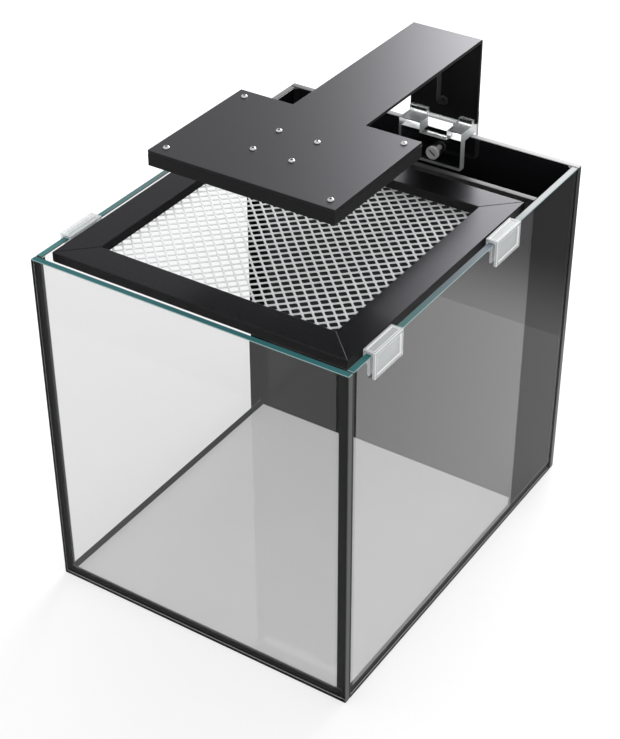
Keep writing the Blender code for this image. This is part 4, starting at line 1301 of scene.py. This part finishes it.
frosted = make_finish("frosted clip plastic", (0.86, 0.87, 0.88), 0.3, grain=350, variety=0.05, bump=0.2,
                      arris=0.9, arris_colour=(0.97, 0.98, 0.98), dust=0.0)
finishes["clip_plastic"] = let_through(frosted, 0.6, (0.93, 0.95, 0.95), edges=0.12)
net_plastic = make_finish("clear netting", (0.93, 0.94, 0.95), 0.3, grain=600, variety=0.05, bump=0.2,
                          arris=0, dust=0.0)
finishes["netting"] = let_through(net_plastic, 0.36, (0.97, 0.97, 0.97))
print("clip and netting plastics")

# %% Clear acrylic
# Solid acrylic also bends light. The bright lines on its cut edges are a painted highlight.
finishes["clear_acrylic"] = make_finish("clear acrylic", (0.96, 0.97, 0.97), 0.03, grain=60, variety=0.02,
                                        bump=0.04, arris=0, dust=0.0)
shader_of(finishes["clear_acrylic"]).inputs["Transmission Weight"].default_value = 1.0
shader_of(finishes["clear_acrylic"]).inputs["IOR"].default_value = 1.49
# A light grey edge with near-white arrises, partly let through: a painted highlight.
polished = make_finish("flame-polished edge with painted highlight", (0.72, 0.74, 0.74), 0.12, grain=40, variety=0.35, bump=0.3,
                       bump_depth=0.4, arris=0.6, arris_colour=(0.95, 0.96, 0.96), dust=0.0)
cut_acrylic_painted_highlight = let_through(polished, 0.35, (0.9, 0.93, 0.93), edges=0.1)
milky = make_finish("diffusing acrylic", (0.8, 0.82, 0.83), 0.35, grain=800, variety=0.04, bump=0.3,
                    arris=0.3, dust=0.0)
diffuser = let_through(milky, 0.45, (0.95, 0.96, 0.96))
print("bracket and window plastics")

# %% Diodes
def make_diode():
    """Yellow phosphor in a white frame: the sunk face of each diode is picked out by its height."""
    material = make_finish("diode", (0.83, 0.82, 0.78), 0.35, arris=0)
    tree = material.node_tree
    sunk = is_above(tree, object_axes(tree)["Z"], diode_bottom + 0.1 * MM)
    colour = mix_colours(tree, sunk, (0.83, 0.82, 0.78, 1), (0.8, 0.62, 0.12, 1))
    tree.links.new(colour, shader_of(material).inputs["Base Color"])
    return material


diode_finish = make_diode()
print("material:", diode_finish.name)

# %% Sponge and ceramic
def make_porous(name, colour, roughness, scale, depth):
    """Open pores: a cell pattern sinks the middle of each cell and darkens it with painted shade."""
    material = make_finish(name, colour, roughness, grain=scale * 2, variety=0.25, bump=0, arris=0, dust=0.0)
    tree = material.node_tree
    shader = shader_of(material)
    cells = add_node(tree, "ShaderNodeTexVoronoi", {"Vector": object_place(tree), "Scale": scale})
    hollow = spread_range(tree, cells.outputs["Distance"], (0.1, 0.55), (0.25, 1))
    tone = shader.inputs["Base Color"].links[0].from_socket
    # The middle of each pore is darkened: painted shade.
    tree.links.new(mix_colours(tree, 1.0, tone, hollow, blend="MULTIPLY"), shader.inputs["Base Color"])
    relief = add_node(tree, "ShaderNodeBump", {"Height": hollow, "Strength": 0.8, "Distance": depth * MM})
    tree.links.new(relief.outputs["Normal"], shader.inputs["Normal"])
    return material


finishes["sponge"] = make_porous("blue-grey sponge", (0.09, 0.12, 0.16), 0.95, 600, 1.2)
finishes["ceramic"] = make_porous("porous ceramic", (0.62, 0.55, 0.47), 0.9, 450, 0.8)
print("sponge and ceramic")

# %% [markdown]
# ## Handing out the finishes
#
# Every new piece takes the finish of the node that it stands for, and the frame's own nodes that still
# show take theirs from the record. Panes get five finishes, one for each kind of face.

# %% Materials on pieces
def dress(item, *materials):
    item.data.materials.clear()
    for material in materials:
        item.data.materials.append(material)


def dress_kinds(item, *materials):
    """Dresses a piece whose faces were sorted into kinds by material index before."""
    kinds = list(face_kinds[item.name])
    dress(item, *materials)
    item.data.polygons.foreach_set("material_index", kinds)


face_kinds = {name: [face.material_index for face in bpy.data.objects[name].data.polygons] for name in made}
for name, slot_name in made.items():
    item = bpy.data.objects[name]
    if slot_name == "clear_glass":
        dress_kinds(item, clear_glass, glass_rim, glass_arris, dark_rim, dark_arris)
    else:
        item.data.polygons.foreach_set("material_index", [0] * len(item.data.polygons))
        dress(item, finishes[slot_name])
dress(diodes, diode_finish)
dress(bpy.data.objects["lamp_window_finished"], diffuser)
dress_kinds(bpy.data.objects["bottom_pane"], floor_glass, glass_rim, glass_arris, dark_rim, dark_arris)
# The left pane's open rim and its arris are dark: painted shade.
dress_kinds(bpy.data.objects["left_pane"], clear_glass, shaded_rim, dark_arris, dark_rim, dark_arris)
dress_kinds(bpy.data.objects["back_pane"], finishes["black_glass"], back_rim, back_rim, dark_rim, dark_arris)
dress_kinds(bracket, finishes["clear_acrylic"], cut_acrylic_painted_highlight)
dress_kinds(divider, finishes["black_acrylic"], sawn_acrylic)
dress_kinds(thumb, finishes["white_nylon"], slot_shade)
for node in screw_nodes:
    dress_kinds(bpy.data.objects[node.replace("_screw_", "_button_screw_")], finishes["steel"], socket_shade)
# Upright faces of the lamp and the rails take the painted shade.
for node in ("lamp_plate", "lamp_housing"):
    dress_kinds(bpy.data.objects[node + "_finished"], finishes["anodised"], anodised_sides_in_painted_shade)
for side in ("front", "right", "back", "left"):
    dress_kinds(bpy.data.objects[f"lid_rail_{side}_finished"], rail_anodised, anodised_sides_in_painted_shade)
for node, item in frame["nodes"].items():
    slot_name = FINISH_OF[node]
    dress(item, clear_glass if slot_name == "clear_glass" else finishes[slot_name])
print(len(made), "new pieces and", len(frame["nodes"]), "nodes have their finish")

# %% [markdown]
# ## Studio
#
# The tank stands on a white sweep under an even white sky, which is what glass needs: it shows what
# it reflects. A large soft panel stands low behind it and draws the bright end of the lamp's arm and
# of the lid. Behind and to the right lies a grey flag, as bright as the sweep at its near end, which
# only reflections see: it gives the right pane and the black film their shading.

# %% Floor and sky
FLOOR_SIZE = 12
FLOOR_GREY = (0.45, 0.45, 0.45, 1)
FLOOR_GLOW = 0.62
SKY_LIGHT = 0.8


def add_plane(name, size, place):
    bpy.ops.object.select_all(action="DESELECT")
    bpy.ops.mesh.primitive_plane_add(size=size, location=place)
    plane = bpy.context.active_object
    plane.name = name
    return plane


floor = add_plane("white_sweep", FLOOR_SIZE, (0, 0, -0.2 * MM))
floor_white = bpy.data.materials.new("white sweep")
floor_white.use_nodes = True
floor_inputs = shader_of(floor_white).inputs
floor_inputs["Base Color"].default_value = FLOOR_GREY
floor_inputs["Roughness"].default_value = 0.9
floor_inputs["Specular IOR Level"].default_value = 0.1
floor_inputs["Emission Color"].default_value = (1, 1, 1, 1)
floor_inputs["Emission Strength"].default_value = FLOOR_GLOW
floor.data.materials.append(floor_white)

world = bpy.data.worlds.new("studio sky")
bpy.context.scene.world = world
world.use_nodes = True
sky = world.node_tree.nodes["Background"]
sky.inputs["Color"].default_value = (1, 1, 1, 1)
sky.inputs["Strength"].default_value = SKY_LIGHT
print("floor and sky")

# %% Soft panel
PANEL_PLACE = Vector((-0.3, 2.4, 1.3))
PANEL_AIM = Vector((0, 0.1, 0.35))
PANEL_WIDTH = 1.7
PANEL_HEIGHT = 1.3
PANEL_POWER = 62

panel_light = bpy.data.lights.new("rear panel", "AREA")
panel_light.shape = "RECTANGLE"
panel_light.size = PANEL_WIDTH
panel_light.size_y = PANEL_HEIGHT
panel_light.energy = PANEL_POWER
panel = new_object("rear panel", panel_light)
panel.location = PANEL_PLACE
panel.rotation_euler = (PANEL_AIM - PANEL_PLACE).to_track_quat("-Z", "Y").to_euler()
bpy.context.scene.view_settings.view_transform = "Standard"
print("rear panel")

# %% A dark flag that only reflections see
FLAG_PLACE = (0.75, 1.0, 2 * MM)
FLAG_WIDTH = 1.1
FLAG_DEPTH = 1.2
FLAG_FROM = 0.38
FLAG_TO = 0.56
SWEEP_LIGHT = 0.98
FLAG_LIGHT = 0.3

flag = add_plane("dark_flag", 1, FLAG_PLACE)
flag.scale = (FLAG_WIDTH, FLAG_DEPTH, 1)
bpy.ops.object.transform_apply(location=True, rotation=True, scale=True)
flag_grey = bpy.data.materials.new("graded grey flag")
flag_grey.use_nodes = True
flag_tree = flag_grey.node_tree
flag_tree.nodes.remove(shader_of(flag_grey))
flag_grade = spread_range(flag_tree, object_axes(flag_tree)["Y"], (FLAG_FROM, FLAG_TO),
                          (SWEEP_LIGHT, FLAG_LIGHT), interpolation_type="SMOOTHSTEP")
flag_glow = add_node(flag_tree, "ShaderNodeEmission", {"Strength": flag_grade})
flag_tree.links.new(flag_glow.outputs[0], flag_tree.nodes["Material Output"].inputs["Surface"])
flag.data.materials.append(flag_grey)
flag.visible_camera = False
flag.visible_diffuse = False
flag.visible_shadow = False
flag.visible_transmission = False
print("flag from", FLAG_FROM, "m behind the middle of the tank")
